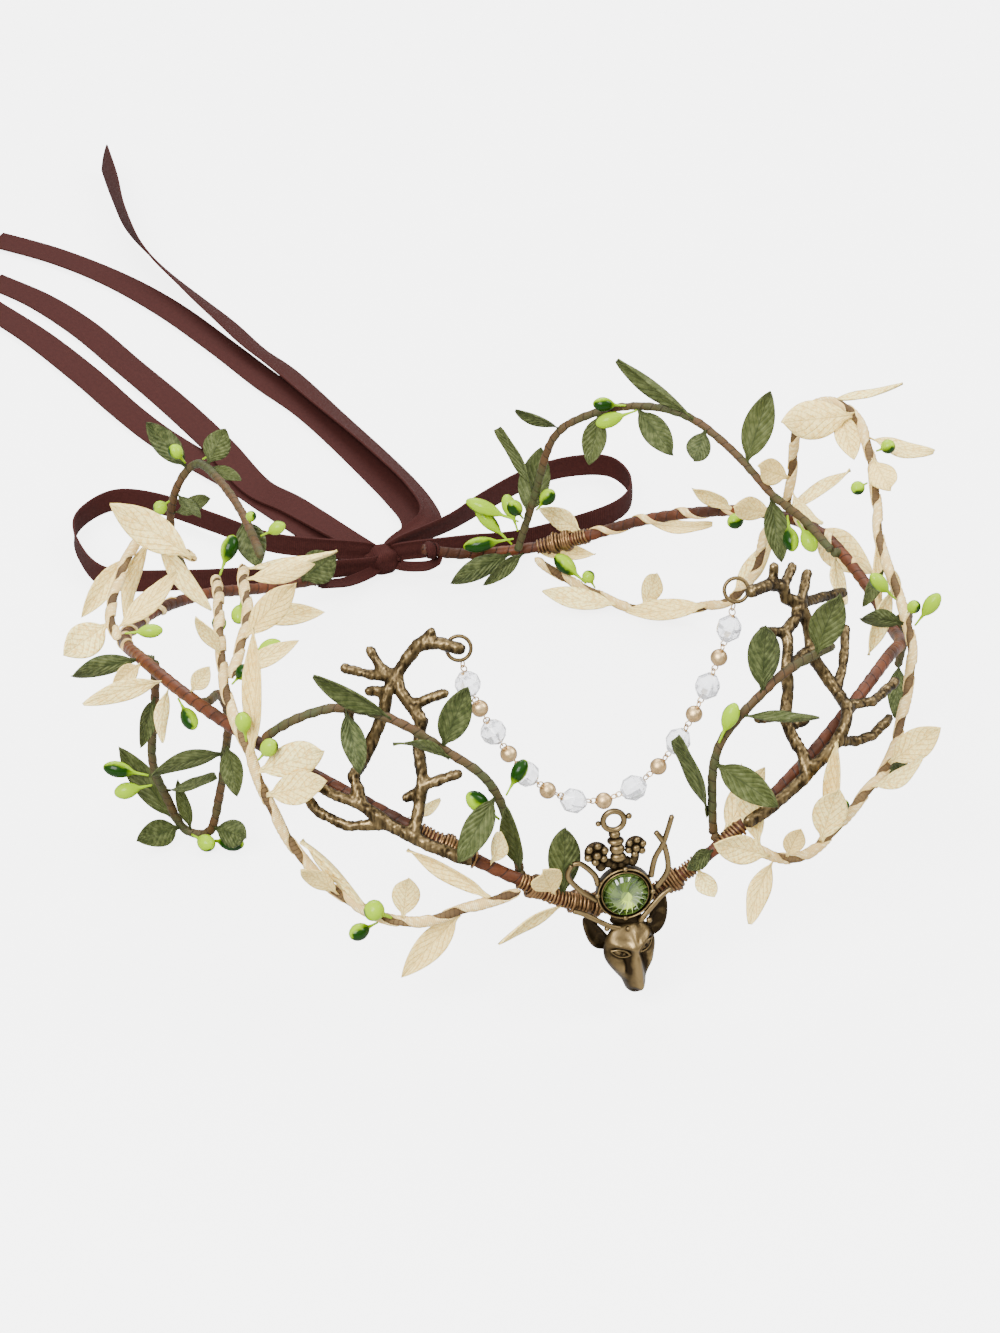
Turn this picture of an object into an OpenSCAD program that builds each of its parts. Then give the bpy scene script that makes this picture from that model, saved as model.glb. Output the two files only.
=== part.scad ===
// Leaf crown: a wrapped hoop with leaf garlands, two cast antlers, a bead chain,
// a deer head charm at the front and a ribbon bow at the back.
// Lengths are in millimetres. The crown's front is -Y, +Z is up, and the origin lies
// on the surface that the crown rests on, under the middle of the head opening.

/* [Hoop] */
// Thickness of the wrapped hoop
hoop_d = 3; // [2.4:0.1:3.2]
// Number of sides of the hoop and the garland cords
cord_sides = 8; // [6:1:10]
// Thickness of the garland cord with its trim
garland_d = 2.8; // [2:0.1:3]
// Wall of the wire bindings on the hoop
wire_wall = 0.8; // [0.5:0.1:1]

/* [Leaves] */
// Thickness of a leaf at its midrib
leaf_t = 1.2; // [1:0.1:1.4]
// Width of a leaf where it leaves its stem
leaf_foot = 1; // [0.8:0.1:1.4]
// Thickness of a taped vine stem
vine_d = 2.2; // [1.6:0.1:2.4]
// Clearance between a leaf or bud and its stem
seat_gap = 0.3; // [0.1:0.05:0.5]
// Thickness of a bud's stalk
stalk_d = 0.9; // [0.7:0.1:1.2]

/* [Ribbon] */
// Width of the ribbon's tails
ribbon_w = 10; // [8:0.5:10.5]
// Width of the bow's loops, where the ribbon is folded along its length
loop_w = 7; // [5:0.5:7.5]
// Thickness of the ribbon
ribbon_t = 1; // [1:0.1:1.2]

/* [Chain] */
// Diameter of a crystal across its facets
crystal_d = 6; // [5:0.25:6.5]
// Diameter of a gold bead
gold_bead_d = 4; // [3:0.25:4.5]
// Wire of the jump rings
ring_wire = 0.9; // [0.7:0.1:1.1]
// Outer diameter of a jump ring
ring_d = 6.4; // [5.5:0.1:7]
// How far the chain hangs below the line between its ends
chain_sag = 46; // [42:1:50]

/* [Pendant] */
// Outer diameter of the stone's setting
bezel_d = 13; // [12:0.25:14]
// Depth of the setting from its back to its rim
bezel_h = 3; // [2.6:0.1:3.4]
// Diameter of the stone
gem_d = 10.4; // [9.5:0.1:10.8]
// Lean of the pendant back from upright
pendant_lean = 6; // [0:1:10]
// Turn of the pendant towards the left
pendant_turn = 10; // [0:1:15]

/* [Antlers] */
// Thickness of the antlers' main branches
antler_d = 3.2; // [2.8:0.1:3.4]
// Thickness of the antlers' prongs
prong_d = 2.6; // [2.2:0.1:2.8]

/* [Hidden] */

hoop_r = hoop_d / 2;
garland_r = garland_d / 2;
vine_r = vine_d / 2;
wire_gap = 0.2;
hitch_gap = 0.25;
rattan = [0.48, 0.26, 0.15];
khaki = [0.45, 0.36, 0.22];
cream = [0.9, 0.83, 0.66];
leaf_green = [0.33, 0.4, 0.24];
stem_green = [0.33, 0.33, 0.2];
bud_green = [0.6, 0.82, 0.12];
bronze = [0.5, 0.4, 0.24];
gold = [0.85, 0.68, 0.42];
copper = [0.55, 0.35, 0.2];
ribbon_brown = [0.37, 0.18, 0.17];
glass = [0.9, 0.92, 0.95];
gem_green = [0.6, 0.75, 0.2];

// Routes on the crown: angle from the front towards +X, radius, height
hoop_route = [[193, 95, 9], [205, 95, 13], [218, 95, 21], [232, 95, 29], [246, 95, 37], [260, 95, 47],
    [275, 95, 57], [290, 95, 60], [305, 95, 58], [320, 95, 52], [335, 95, 41], [343, 95, 34], [350, 94, 27],
    [0, 93, 24], [12, 95, 35], [25, 95, 46], [38, 95, 54], [52, 95, 55], [65, 95, 46], [78, 95, 37],
    [92, 95, 37], [105, 95, 40], [117, 95, 37], [128, 95, 31], [140, 95, 23], [150, 95, 15], [160, 95, 10],
    [170, 95, 9], [177, 95, 12]];
garland_left_route = [[343, 98, 33], [336, 101, 30], [329, 103, 26], [322, 103, 28], [315, 103, 36],
    [310, 103, 48], [306, 102, 61], [298, 94, 66], [283, 80, 65], [262, 72, 60], [244, 74, 51]];
garland_outer_route = [[243, 79, 55], [238, 93, 57], [243, 96, 55], [250, 97, 53], [259, 98, 54],
    [268, 98, 56]];
garland_inner_route = [[248, 66, 58], [263, 66, 63], [282, 72, 68], [297, 91, 69]];
garland_right_route = [[115, 98, 38], [114, 98, 53], [112, 95, 65], [108, 94, 75], [104, 97, 78],
    [99, 98, 76], [93, 96, 71], [86, 93, 66], [78, 91, 61], [70, 94, 55], [62, 98, 48], [54, 99, 41],
    [44, 101, 35], [34, 103, 35], [28, 103, 31], [22, 103, 29], [17, 101, 33], [13, 98, 38]];
garland_back_route = [[158, 92, 9], [153, 91, 4], [147, 88, 2], [141, 84, 2], [134, 86, 2], [127, 89, 5],
    [121, 89, 11], [117, 91, 22], [116, 92, 35]];
vine_back_route = [[161, 92, 11], [158, 91, 29], [155, 90, 47], [149, 90, 55], [140, 90, 60], [131, 90, 60],
    [122, 90, 54], [114, 91, 46], [106, 91, 44], [99, 92, 40]];
vine_front_left_route = [[343, 92, 34], [341, 90, 48], [338, 91, 59], [332, 91, 66], [325, 91, 72],
    [317, 92, 73], [311, 96, 69], [307, 99, 63]];
vine_front_right_route = [[12, 92, 36], [12, 91, 53], [14, 91, 62], [19, 91, 68], [25, 92, 73],
    [34, 94, 74]];
vine_left_top_route = [[220, 97.5, 23], [219, 105, 36], [219, 103, 50], [218, 97, 59],
    [225, 82, 63], [235, 70, 64], [247, 63, 64], [256, 61, 66]];
vine_left_low_route = [[275, 92, 56], [274, 92, 43], [273, 93, 26], [271, 89, 12], [271, 85, 2],
    [274, 80, 3], [276, 78, 14], [278, 77, 28], [282, 78, 42], [286, 83, 53], [292, 92, 59]];
vine_right_route = [[78, 98, 38], [82, 101, 36], [85, 102, 26], [87, 102, 15]];

// Leaves: distance of the foot along the stem, reach of the tip from the stem in x, y and z,
// width, and turn about the leaf's length away from facing the front and up
gold_on_outer = [[2, -18, 5, 15, 9, 0], [13, 9, -13, -15, 5, 20], [17, -9, -15, -16, 5, 50],
    [26, -14, -8, -10, 5.5, 10], [59, -14, -11, 1, 8.5, 0], [63, 16, 2, 12, 5.5, 20]];
gold_on_left_hoop = [[147, -10, -8, 0, 5, 20], [159, -20, -3, -1, 5, 20], [161, -4, -7, -11, 4, 40],
    [170, 4, -3, 9, 4.5, 0]];
gold_on_inner = [[4, 22, -5, 4, 4, 60], [15, 15, -9, 7, 5, 10], [42, 17, -5, 1, 5.5, 10],
    [53, 11, -6, 16, 7, 0], [68, 15, -1, 6, 4.5, 10]];
gold_on_left_cord = [[84, 4, 7, 27, 5, 20], [118, -6, -2, 13, 5, 40]];
gold_on_front_cord = [[16, -11, 4, -18, 6.5, 0], [8, -15, 11, 10, 5, 40], [28, 1, -1, 12, 6.5, 0],
    [39, -11, 6, 16, 5, 65], [45, -9, -4, 10, 5, 30], [73, 10, -15, 11, 7.5, 10], [79, 12, -13, 11, 8, 0]];
gold_on_front_hoop = [[233, 9, 4, 2, 4, 50], [254, 1, -5, 12, 5, 40], [270, -4, -8, 12, 7.5, 0],
    [274, -16, -3, -7, 5, 60]];
gold_on_right_cord = [[1, 17, 0, 8, 6, 55], [6, 4, -13, -3, 6, 55], [11, -11, -5, 7, 7, 0],
    [46, 20, 2, 1, 6, 70], [51, -3, -13, -7, 6.5, 0], [54, -21, -5, 4, 10, 0],
    [62, 17, -3, -5, 6, 45], [70, -1, -14, 1, 7, 0], [92, -3, -11, -18, 5, 60],
    [101, 5, 1, -11, 4, 40], [109, -9, -6, -13, 6, 40], [161, 9, -8, 13, 7.5, 0],
    [173, 9, -8, 12, 6, 60], [190, 0, -1, 26, 5, 40], [193, 2, -3, 16, 8, 0], [205, 1, -7, 12, 5, 0],
    [208, -9, -10, -10, 6, 30], [213, -1, 8, 18, 6, 20], [211, -14, -6, 9, 7, 10]];
gold_on_right_hoop = [[308, 1, -10, -2, 5, 20], [319, 11, 9, 10, 7.5, 0], [469, -3, -12, -8, 5, 40],
    [481, 16, -2, -15, 10, 0]];
gold_on_back_cord = [[27, -18, 7, 3, 7, -35], [35, 1, -6, 14, 6, 20], [53, -21, 4, 0, 6.5, -30],
    [64, 10, 0, 15, 6, 30]];
gold_on_back_hoop = [[496, -13, -5, 7, 6.5, 20], [510, -12, -1, 9, 5, 40], [539, 17, -6, -1, 5, 50],
    [558, -7, 13, 3, 6, 20], [571, 16, -2, -4, 5.5, 30]];
green_on_back = [[12, 6, 8, 15, 8.5, 0], [20, -7, 11, 14, 5, 65], [41, -12, 1, 7, 5, 65],
    [53, -6, -10, -9, 6.5, 0], [65, 3, -16, -6, 7, 0], [79, -17, 8, 15, 5, 65],
    [85, -7, -9, -3, 6.5, 0], [98, 8, 4, 17, 8, 0], [110, -1, -9, -14, 6.5, 10]];
green_on_back_hoop = [[575, -12, -5, -6, 5, 40], [579, -17, -5, -4, 6, 10]];
green_on_front_left = [[2, -5, -6, 20, 5, 30], [21, -12, -11, -8, 6.5, 10], [37, -13, -2, 6, 5, 65],
    [39, 5, -4, 17, 7, 0], [53, -16, 1, 13, 5, 40], [62, -2, -16, -6, 5.5, 20]];
green_on_front_hoop = [[273, 1, -1, 19, 7.5, 0]];
green_on_front_right = [[7, -9, 1, 20, 5, 60], [19, 9, -16, -3, 7, 0], [33, 14, -10, 2, 5, 70],
    [40, -1, -2, 18, 7.5, 0], [56, 3, -4, 17, 8, 0]];
green_on_right_hoop = [[313, -8, -6, 1, 4.5, 20]];
green_on_left_top = [[23, 8, -7, 6, 5, 30], [29, 4, -9, -3, 4, 40], [37, -9, 5, 12, 6.5, 0],
    [45, 7, -10, 0, 5, 40], [47, 6, 3, 8, 7, 0], [80, 0, -14, -6, 7.5, 0]];
green_on_left_end = [[9, 8, -4, 9, 9.5, 0]];
green_on_left_low = [[11, -7, -14, -4, 4.5, 30], [42, 11, -8, 7, 5, 65], [52, -12, 5, 19, 6.5, 0],
    [54, -12, -7, 2, 7, -10], [57, -2, 0, 15, 4, 30], [66, 5, -11, 2, 7, 0], [90, -19, -3, -1, 5, 30],
    [93, -1, -13, -6, 5.5, 0]];
green_on_left_hoop = [[144, -18, -7, 3, 5, 20]];
green_on_right_cord = [[103, -9, -6, -5, 4, 20], [119, -13, -2, 5, 5, 30], [154, 2, 4, -12, 6.5, 0]];
green_on_right = [[21, -2, -1, 9, 4, 30], [29, -4, -9, -10, 5, 10]];

// Buds: distance along the stem, reach of the tip in x, y and z, thickness
buds_on_left_top = [[27, -6, -5, 0, 3.3], [38, -5, 0, 7, 3.4], [41, 8, -3, 6, 3.4], [92, 7, -3, 5, 3],
    [86, 0, -3, 6, 2.4]];
buds_on_left_cord = [[81, 4, -5, 8, 3.6], [85, -1, -1, 10, 3.4], [103, 5, -2, 7, 3.2],
    [152, -2, -8, -3, 3.2], [171, 6, 5, 10, 3.8]];
buds_on_inner = [[23, -4, -9, -3, 3.6], [61, 10, -2, 3, 3.2]];
buds_on_outer = [[65, 11, -3, 1, 3.1]];
buds_on_left_hoop = [[165, 1, -10, -5, 3.5]];
buds_on_left_low = [[36, -12, 5, 2, 3.6], [39, -11, 2, -2, 3.7], [58, 3, -9, 1, 3.8], [61, 8, -9, 1, 3.6]];
buds_on_front_left = [[19, 7, 3, 8, 3.2], [14, -9, 1, 8, 4]];
buds_on_front_cord = [[30, -7, -1, 6, 4.5], [33, -9, -5, 0, 3.6]];
buds_on_back = [[1, -9, 9, 9, 3.5], [4, -15, 4, -2, 3.7], [5, -2, 8, 9, 3.7], [9, -14, 9, 5, 3.7],
    [11, -6, -4, 8, 3.7], [14, 5, -4, 7, 3.7], [62, -10, 1, 2, 3.4], [65, -12, 1, -4, 3.7],
    [116, -2, -8, -8, 3.8], [119, 2, -8, -7, 3.8]];
buds_on_back_cord = [[17, -7, 7, 8, 4.2], [20, -3, 1, 7, 3.2]];
buds_on_back_hoop = [[502, -9, -2, -1, 3.7]];
buds_on_right_cord = [[67, 4, -5, 5, 3.3], [76, -7, -3, 1, 3.2], [113, -8, 1, 9, 3.4],
    [121, 6, -3, 11, 3.4], [117, 0, -6, 7, 3], [184, -2, -2, 6, 2.8]];
buds_on_front_right = [[24, 3, -1, 11, 3.5]];

// Antlers: branches through points of angle, radius and height, each ending in its thickness
antler_left_branches = [
    [[336, 99, 42], [331, 99, 45], [326, 99, 49], [322, 99, 53], [320, 96, 58], [320, 91, 59]],
    [[320, 91, 59], [321, 88, 64], [322, 85, 70], [322, 83, 74], [323, 81, 77]],
    [[323, 81, 77], [324, 79, 80], [326, 77, 84], [329, 77, 85], [333, 77, 84]],
    [[323, 81, 77], [324, 83, 75], [326, 84, 72], [328, 85, 69], [328, 88, 63], [329, 91, 57],
    [329, 94, 52],
        [329, 97, 49], [329, 99, 47]]];
antler_left_prongs = [
    [[320, 91, 59], [318, 89, 62], [317, 87, 65], [316, 85, 70]], [[322, 83, 74], [319, 83, 73]],
    [[323, 81, 77], [319, 81, 76], [314, 81, 76]],
    [[323, 81, 77], [320, 80, 78], [318, 79, 81]], [[326, 77, 84], [328, 76, 87]],
    [[326, 84, 72], [331, 82, 75]], [[329, 92, 56], [334, 90, 59]], [[329, 92, 55], [327, 93, 53]],
    [[322, 99, 53], [318, 100, 55], [313, 100, 58]],
    [[325, 99, 49], [320, 101, 48], [316, 101, 50], [314, 100, 53]]];
antler_right_branches = [
    [[27, 77, 86], [32, 77, 85], [35, 78, 83], [35, 79, 80], [37, 81, 78]],
    [[37, 81, 78], [35, 82, 76], [32, 82, 74], [31, 84, 72], [29, 86, 68], [28, 88, 63], [26, 90, 58],
        [26, 93, 54], [26, 96, 51], [25, 99, 48]],
    [[37, 81, 78], [37, 83, 74], [37, 84, 70], [36, 86, 66], [37, 88, 62], [37, 92, 58], [35, 97, 57],
        [33, 99, 55], [31, 99, 52], [27, 99, 49], [24, 99, 47], [21, 99, 45], [18, 99, 43], [15, 99, 42]]];
antler_right_prongs = [
    [[33, 77, 84], [34, 76, 88]], [[35, 78, 83], [39, 77, 85]], [[37, 81, 78], [42, 79, 82]],
    [[37, 81, 78], [44, 82, 75], [50, 84, 72]], [[32, 82, 74], [27, 81, 77]],
    [[26, 90, 59], [21, 89, 61]], [[27, 91, 56], [30, 91, 55]], [[29, 86, 68], [35, 85, 68]],
    [[37, 92, 58], [41, 90, 61], [46, 87, 66]],
    [[36, 97, 57], [40, 99, 55], [46, 100, 55]],
    [[31, 99, 52], [35, 100, 49], [38, 101, 48], [43, 101, 48]]];
ring_left_place = [332.5, 74.4, 82.5];
ring_right_place = [26.5, 73, 85];

// Ribbon lying on the surface: x, y, height of its middle, turn about its length
loop_left_route = [[-8, 107, 7, 80], [-28, 121, 5, 85], [-41, 139, 4, 90], [-53, 154, 4, 90],
    [-65, 160, 4, 90], [-77, 151, 4, 90], [-80, 136, 4, 90], [-76, 119, 4, 90], [-58, 112, 4, 90],
    [-34, 107, 4, 90], [-8, 102, 5, 80]];
loop_right_route = [[3, 106, 8, 80], [19, 114, 7, 85], [32, 125, 5, 90], [49, 136, 4, 90],
    [63, 139, 4, 90], [74, 135, 4, 90], [75, 121, 4, 90], [65, 110, 4, 90], [38, 104, 4, 90],
    [20, 103, 6, 90], [3, 103, 7, 80]];
tail_1_route = [[1, 110, 3, 0], [12, 123, 2, 0], [13, 142, 1, 0], [9, 169, 1, 0], [3, 199, 1, 0],
    [-4, 221, 1, 0], [-11, 246, 1, 0], [-20, 275, 1, 0], [-31, 300, 1, 0], [-45, 322, 1, 0],
    [-61, 340, 1, 0]];
tail_2_route = [[3, 111, 5, -10], [16, 122, 4, -35], [18, 139, 3.5, -40], [14, 165, 3.5, -34],
    [8, 195, 3, -28], [2, 223, 3, -24], [-3, 240, 3, -26], [-7, 258, 3.5, -30], [-12, 278, 4, -38],
    [-18, 303, 5, -52], [-20, 332, 5.5, -86], [-18, 357, 5.5, -100], [-16, 380, 5.5, -104]];
tail_3_route = [[-4, 110, 4, 0], [-9, 124, 3, 0], [-17, 145, 2, 0], [-24, 159, 2, 0], [-28, 185, 2, 0],
    [-34, 215, 1.5, 0], [-41, 244, 1, 0], [-48, 271, 1, 0], [-57, 294, 1, 0], [-68, 312, 1, 0]];
tail_4_route = [[-8, 110, 2, 0], [-14, 124, 1, 0], [-20, 143, 0.8, 0], [-26, 160, 0.8, 0],
    [-34, 178, 0.8, 0], [-42, 197, 0.8, 0], [-48, 216, 1, 0], [-54, 240, 1, 0], [-63, 270, 1, 0],
    [-73, 295, 1, 0]];
// Share of its width that a tail has at the knot, and the rings over which it widens to all of it
tail_gather = 0.5;
gather_rings = 6;

// A point on the crown from its angle, radius and height
function polar(p) = [p[1] * sin(p[0]), -p[1] * cos(p[0]), p[2]];
function around(route) = [for (p = route) polar(p)];
function unit(v) = v / norm(v);
function mix(a, b, t) = a + (b - a) * t;

// Smooth curve through the points p, in k steps from each point to the next
function curve_at(a, b, c, d, t) = (2 * b + (c - a) * t + (2 * a - 5 * b + 4 * c - d) * t ^ 2
    + (3 * b - a - 3 * c + d) * t ^ 3) / 2;
function smooth(p, k = 2) = let (n = len(p)) concat(
    [for (i = [0:n - 2]) for (j = [0:k - 1])
        curve_at(p[max(i - 1, 0)], p[i], p[i + 1], p[min(i + 2, n - 1)], j / k)],
    [p[n - 1]]);

// Directions along a curve, and a sideways direction that turns with it
function tangents(p) = let (n = len(p)) [for (i = [0:n - 1]) unit(p[min(i + 1, n - 1)] - p[max(i - 1, 0)])];
function across(v, t) = unit(v - (v * t) * t);
function first_side(t) = across(abs(t[2]) < 0.9 ? [0, 0, 1] : [1, 0, 0], t);
function sides(t) = [for (i = 0, s = first_side(t[0]); i < len(t);
    i = i + 1, s = i < len(t) ? across(s, t[i]) : s) s];

// Length along a curve up to each of its points, and the place and direction at a length
function lengths(p) = [for (i = 0, s = 0; i < len(p);
    i = i + 1, s = i < len(p) ? s + norm(p[i] - p[i - 1]) : s) s];
function column(p, s, c) = [for (i = [0:len(p) - 1]) [s[i], p[i][c]]];
function place_at(p, s, d) = [for (c = [0:2]) lookup(d, column(p, s, c))];
function heading_at(p, s, d) = unit(place_at(p, s, min(d + 1, s[len(s) - 1]))
    - place_at(p, s, max(d - 1, 0)));

// Closed skin over rings that all have the same number of points
function skin_faces(n, m) = concat(
    [for (i = [0:n - 2]) for (j = [0:m - 1]) let (a = i * m + j, b = i * m + (j + 1) % m)
        each [[a, a + m, b], [b, a + m, b + m]]],
    [for (j = [1:m - 2]) [0, j, j + 1]],
    [for (j = [1:m - 2]) [(n - 1) * m, (n - 1) * m + j + 1, (n - 1) * m + j]]);
module skin(rings) polyhedron([for (r = rings) each r], skin_faces(len(rings), len(rings[0])), 6);

// Round cord along the curve p, of radius r or with a radius for each point
function tube_rings(p, r, n) = let (t = tangents(p), s = sides(t)) [for (i = [0:len(p) - 1])
    let (u = s[i], v = cross(t[i], s[i]), ri = is_list(r) ? r[i] : r) [for (j = [0:n - 1])
        p[i] + ri * (u * cos(360 * j / n) + v * sin(360 * j / n))]];
module tube(p, r, n = cord_sides) skin(tube_rings(p, r, n));

// Sleeve of wire round the curve p, closed from its outer face through its ends to its inner face
module sleeve(p, r_in, r_out, n = cord_sides) {
    outer = tube_rings(p, r_out, n);
    inner = tube_rings(p, r_in, n);
    rings = concat(outer, [for (i = [len(p) - 1:-1:0]) inner[i]]);
    k = len(rings);
    polyhedron([for (r = rings) each r], [for (i = [0:k - 1]) for (j = [0:n - 1])
        let (a = i * n + j, b = i * n + (j + 1) % n,
            c = ((i + 1) % k) * n + j, d = ((i + 1) % k) * n + (j + 1) % n)
        each [[a, c, b], [b, c, d]]], 6);
}

// Flat ribbon along a route whose fourth column is its turn
function strip_ring(p, t, turn, w, h) = let (
    flat = across([t[1], -t[0], 0], t), top = cross(flat, t),
    a = (flat * cos(turn) + top * sin(turn)) * w / 2, b = (top * cos(turn) - flat * sin(turn)) * h / 2)
    [p - a - b, p - a + b, p + a + b, p + a - b];
module strip(route, w, h, gather = 1) {
    q = smooth(route);
    p = [for (r = q) [r[0], r[1], r[2]]];
    t = tangents(p);
    skin([for (i = [0:len(p) - 1])
        strip_ring(p[i], t[i], q[i][3], w * mix(gather, 1, min(i / gather_rings, 1)), h)]);
}

// Where a leaf or bud leaves its stem: beside the stem, on the side that it reaches to
function foot_at(p, s, d, reach, r) = place_at(p, s, d)
    + across(reach, heading_at(p, s, d)) * (r + seat_gap);

// One leaf: share of its length, share of its width, share of its thickness
leaf_stations = [[0, 0, 0.7], [0.2, 0.7, 1], [0.45, 1, 1], [0.72, 0.75, 1], [1, 0, 0.5]];
leaf_face = unit([-0.26, -0.81, 0.53]);
leaf_cup = 0.08;
module leaf(foot, reach, w, turn) {
    d = unit(reach);
    n0 = across(leaf_face, d);
    a0 = cross(d, n0);
    a = a0 * cos(turn) + n0 * sin(turn);
    n = n0 * cos(turn) - a0 * sin(turn);
    skin([for (q = leaf_stations) let (
        half = max(w * q[1], leaf_foot) / 2, thick = leaf_t * q[2] / 2,
        c = foot + reach * q[0] - n * norm(reach) * leaf_cup * 4 * q[0] * (1 - q[0]) + d * leaf_foot / 2)
        [c - a * half, c + n * thick, c + a * half, c - n * thick]]);
}
module leaves(route, table, stem_r) {
    p = smooth(around(route), 3);
    s = lengths(p);
    for (q = table) let (reach = [q[1], q[2], q[3]], foot = foot_at(p, s, q[0], reach, stem_r))
        leaf(foot, place_at(p, s, q[0]) + reach - foot, q[4], q[5]);
}

// One bud on its stalk: share of its length, share of its thickness
bud_stations = [[0.35, 0.45], [0.5, 0.85], [0.68, 1], [0.86, 0.8], [1, 0.3]];
module bud(foot, reach, d) {
    axis = unit(reach);
    p = concat([foot + axis * stalk_d / 2], [for (q = bud_stations) foot + reach * q[0]]);
    skin(tube_rings(p, concat([stalk_d / 2], [for (q = bud_stations) max(d * q[1], stalk_d) / 2]), 6));
}
module buds(route, table, stem_r) {
    p = smooth(around(route), 3);
    s = lengths(p);
    for (q = table) let (reach = [q[1], q[2], q[3]], foot = foot_at(p, s, q[0], reach, stem_r))
        bud(foot, place_at(p, s, q[0]) + reach - foot, q[4]);
}

module cord(route, r) color(khaki) tube(smooth(around(route), 3), r);
module vine(route) color(stem_green) tube(smooth(around(route), 3), vine_r, 6);
module hoop() color(rattan) tube(smooth(around(hoop_route), 3), hoop_r);

// Wire bindings: first and last distance along the hoop
hoop_bindings = [[242, 246], [265, 268], [276, 283], [300, 304], [561, 568]];
module hoop_wire() color(copper) {
    p = smooth(around(hoop_route), 3);
    s = lengths(p);
    for (b = hoop_bindings)
        sleeve([for (k = [0:2]) place_at(p, s, mix(b[0], b[1], k / 2))],
            hoop_r + wire_gap, hoop_r + wire_gap + wire_wall);
}

module garland_cord_side() {
    cord(garland_outer_route, garland_r);
    cord(garland_inner_route, garland_r);
}

module gold_leaves_left() color(cream) {
    leaves(garland_outer_route, gold_on_outer, garland_r);
    leaves(garland_inner_route, gold_on_inner, garland_r);
    leaves(garland_left_route, gold_on_left_cord, garland_r);
    leaves(hoop_route, gold_on_left_hoop, hoop_r);
}
module gold_leaves_front() color(cream) {
    leaves(garland_left_route, gold_on_front_cord, garland_r);
    leaves(hoop_route, gold_on_front_hoop, hoop_r);
}
module gold_leaves_right() color(cream) {
    leaves(garland_right_route, gold_on_right_cord, garland_r);
    leaves(hoop_route, gold_on_right_hoop, hoop_r);
}
module gold_leaves_back() color(cream) {
    leaves(garland_back_route, gold_on_back_cord, garland_r);
    leaves(hoop_route, gold_on_back_hoop, hoop_r);
}

module green_leaves_back() color(leaf_green) {
    leaves(vine_back_route, green_on_back, vine_r);
    leaves(hoop_route, green_on_back_hoop, hoop_r);
}
module green_leaves_front_left() color(leaf_green) {
    leaves(vine_front_left_route, green_on_front_left, vine_r);
    leaves(hoop_route, green_on_front_hoop, hoop_r);
}
module green_leaves_front_right() color(leaf_green) {
    leaves(vine_front_right_route, green_on_front_right, vine_r);
    leaves(hoop_route, green_on_right_hoop, hoop_r);
}
module green_leaves_left_top() color(leaf_green) {
    leaves(vine_left_top_route, green_on_left_top, vine_r);
    leaves(hoop_route, green_on_left_end, hoop_r);
}
module green_leaves_left_low() color(leaf_green) {
    leaves(vine_left_low_route, green_on_left_low, vine_r);
    leaves(hoop_route, green_on_left_hoop, hoop_r);
}
module green_leaves_right() color(leaf_green) {
    leaves(garland_right_route, green_on_right_cord, garland_r);
    leaves(vine_right_route, green_on_right, vine_r);
}

module buds_left() color(bud_green) {
    buds(vine_left_top_route, buds_on_left_top, vine_r);
    buds(vine_left_low_route, buds_on_left_low, vine_r);
    buds(garland_left_route, buds_on_left_cord, garland_r);
    buds(garland_inner_route, buds_on_inner, garland_r);
    buds(garland_outer_route, buds_on_outer, garland_r);
    buds(hoop_route, buds_on_left_hoop, hoop_r);
}
module buds_front() color(bud_green) {
    buds(vine_front_left_route, buds_on_front_left, vine_r);
    buds(garland_left_route, buds_on_front_cord, garland_r);
    buds(vine_front_right_route, buds_on_front_right, vine_r);
}
module buds_back() color(bud_green) {
    buds(vine_back_route, buds_on_back, vine_r);
    buds(garland_back_route, buds_on_back_cord, garland_r);
    buds(hoop_route, buds_on_back_hoop, hoop_r);
}
module buds_right() color(bud_green) buds(garland_right_route, buds_on_right_cord, garland_r);

// Antler cast in one piece: each branch is a row of rounded lengths
module branch(points, d) {
    p = around(points);
    for (i = [0:len(p) - 2]) hull() {
        translate(p[i]) sphere(d = d, $fn = 7);
        translate(p[i + 1]) sphere(d = d, $fn = 7);
    }
}
module antler(branches, prongs) color(bronze) {
    for (b = branches) branch(b, antler_d);
    for (b = prongs) branch(b, prong_d);
}

// Bead chain: a hanging curve between the jump rings, with beads at even steps along it
ring_mean_r = (ring_d - ring_wire) / 2;
ring_tilt = 62;
ring_turn = 18;
ring_drop = 0.8;
ring_low = [-sin(ring_turn) * cos(ring_tilt), -cos(ring_turn) * cos(ring_tilt), -sin(ring_tilt)];
chain_start = polar(ring_left_place) + ring_low * (ring_mean_r + ring_wire * ring_drop);
chain_end = polar(ring_right_place) + ring_low * (ring_mean_r + ring_wire * ring_drop);
chain_items = 15;
chain_turn = 1.7;
chain_lean = 2;
chain_steps = 60;
chain_ends = 0.6;
chain_first = 0.8;
crystal_half = crystal_d * 0.52;
crystal_flat = 0.45;
crystal_neck = 0.22;
crystal_sides = 8;
function cosh(x) = (exp(x) + exp(-x)) / 2;
function hang(u) = (cosh(chain_turn) - cosh(chain_turn * (2 * u - 1))) / (cosh(chain_turn) - 1);
chain_curve = [for (i = [0:chain_steps]) mix(chain_start, chain_end, i / chain_steps)
    + [chain_lean, 0, -chain_sag] * hang(i / chain_steps)];
chain_lengths = lengths(chain_curve);
chain_step = chain_lengths[chain_steps] / (chain_items + chain_ends);
function chain_place(k) = place_at(chain_curve, chain_lengths, chain_step * (k - 1 + chain_first));
function chain_heading(k) = heading_at(chain_curve, chain_lengths, chain_step * (k - 1 + chain_first));
function bead_half(k) = k % 2 == 1 ? crystal_half : gold_bead_d / 2;

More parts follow.
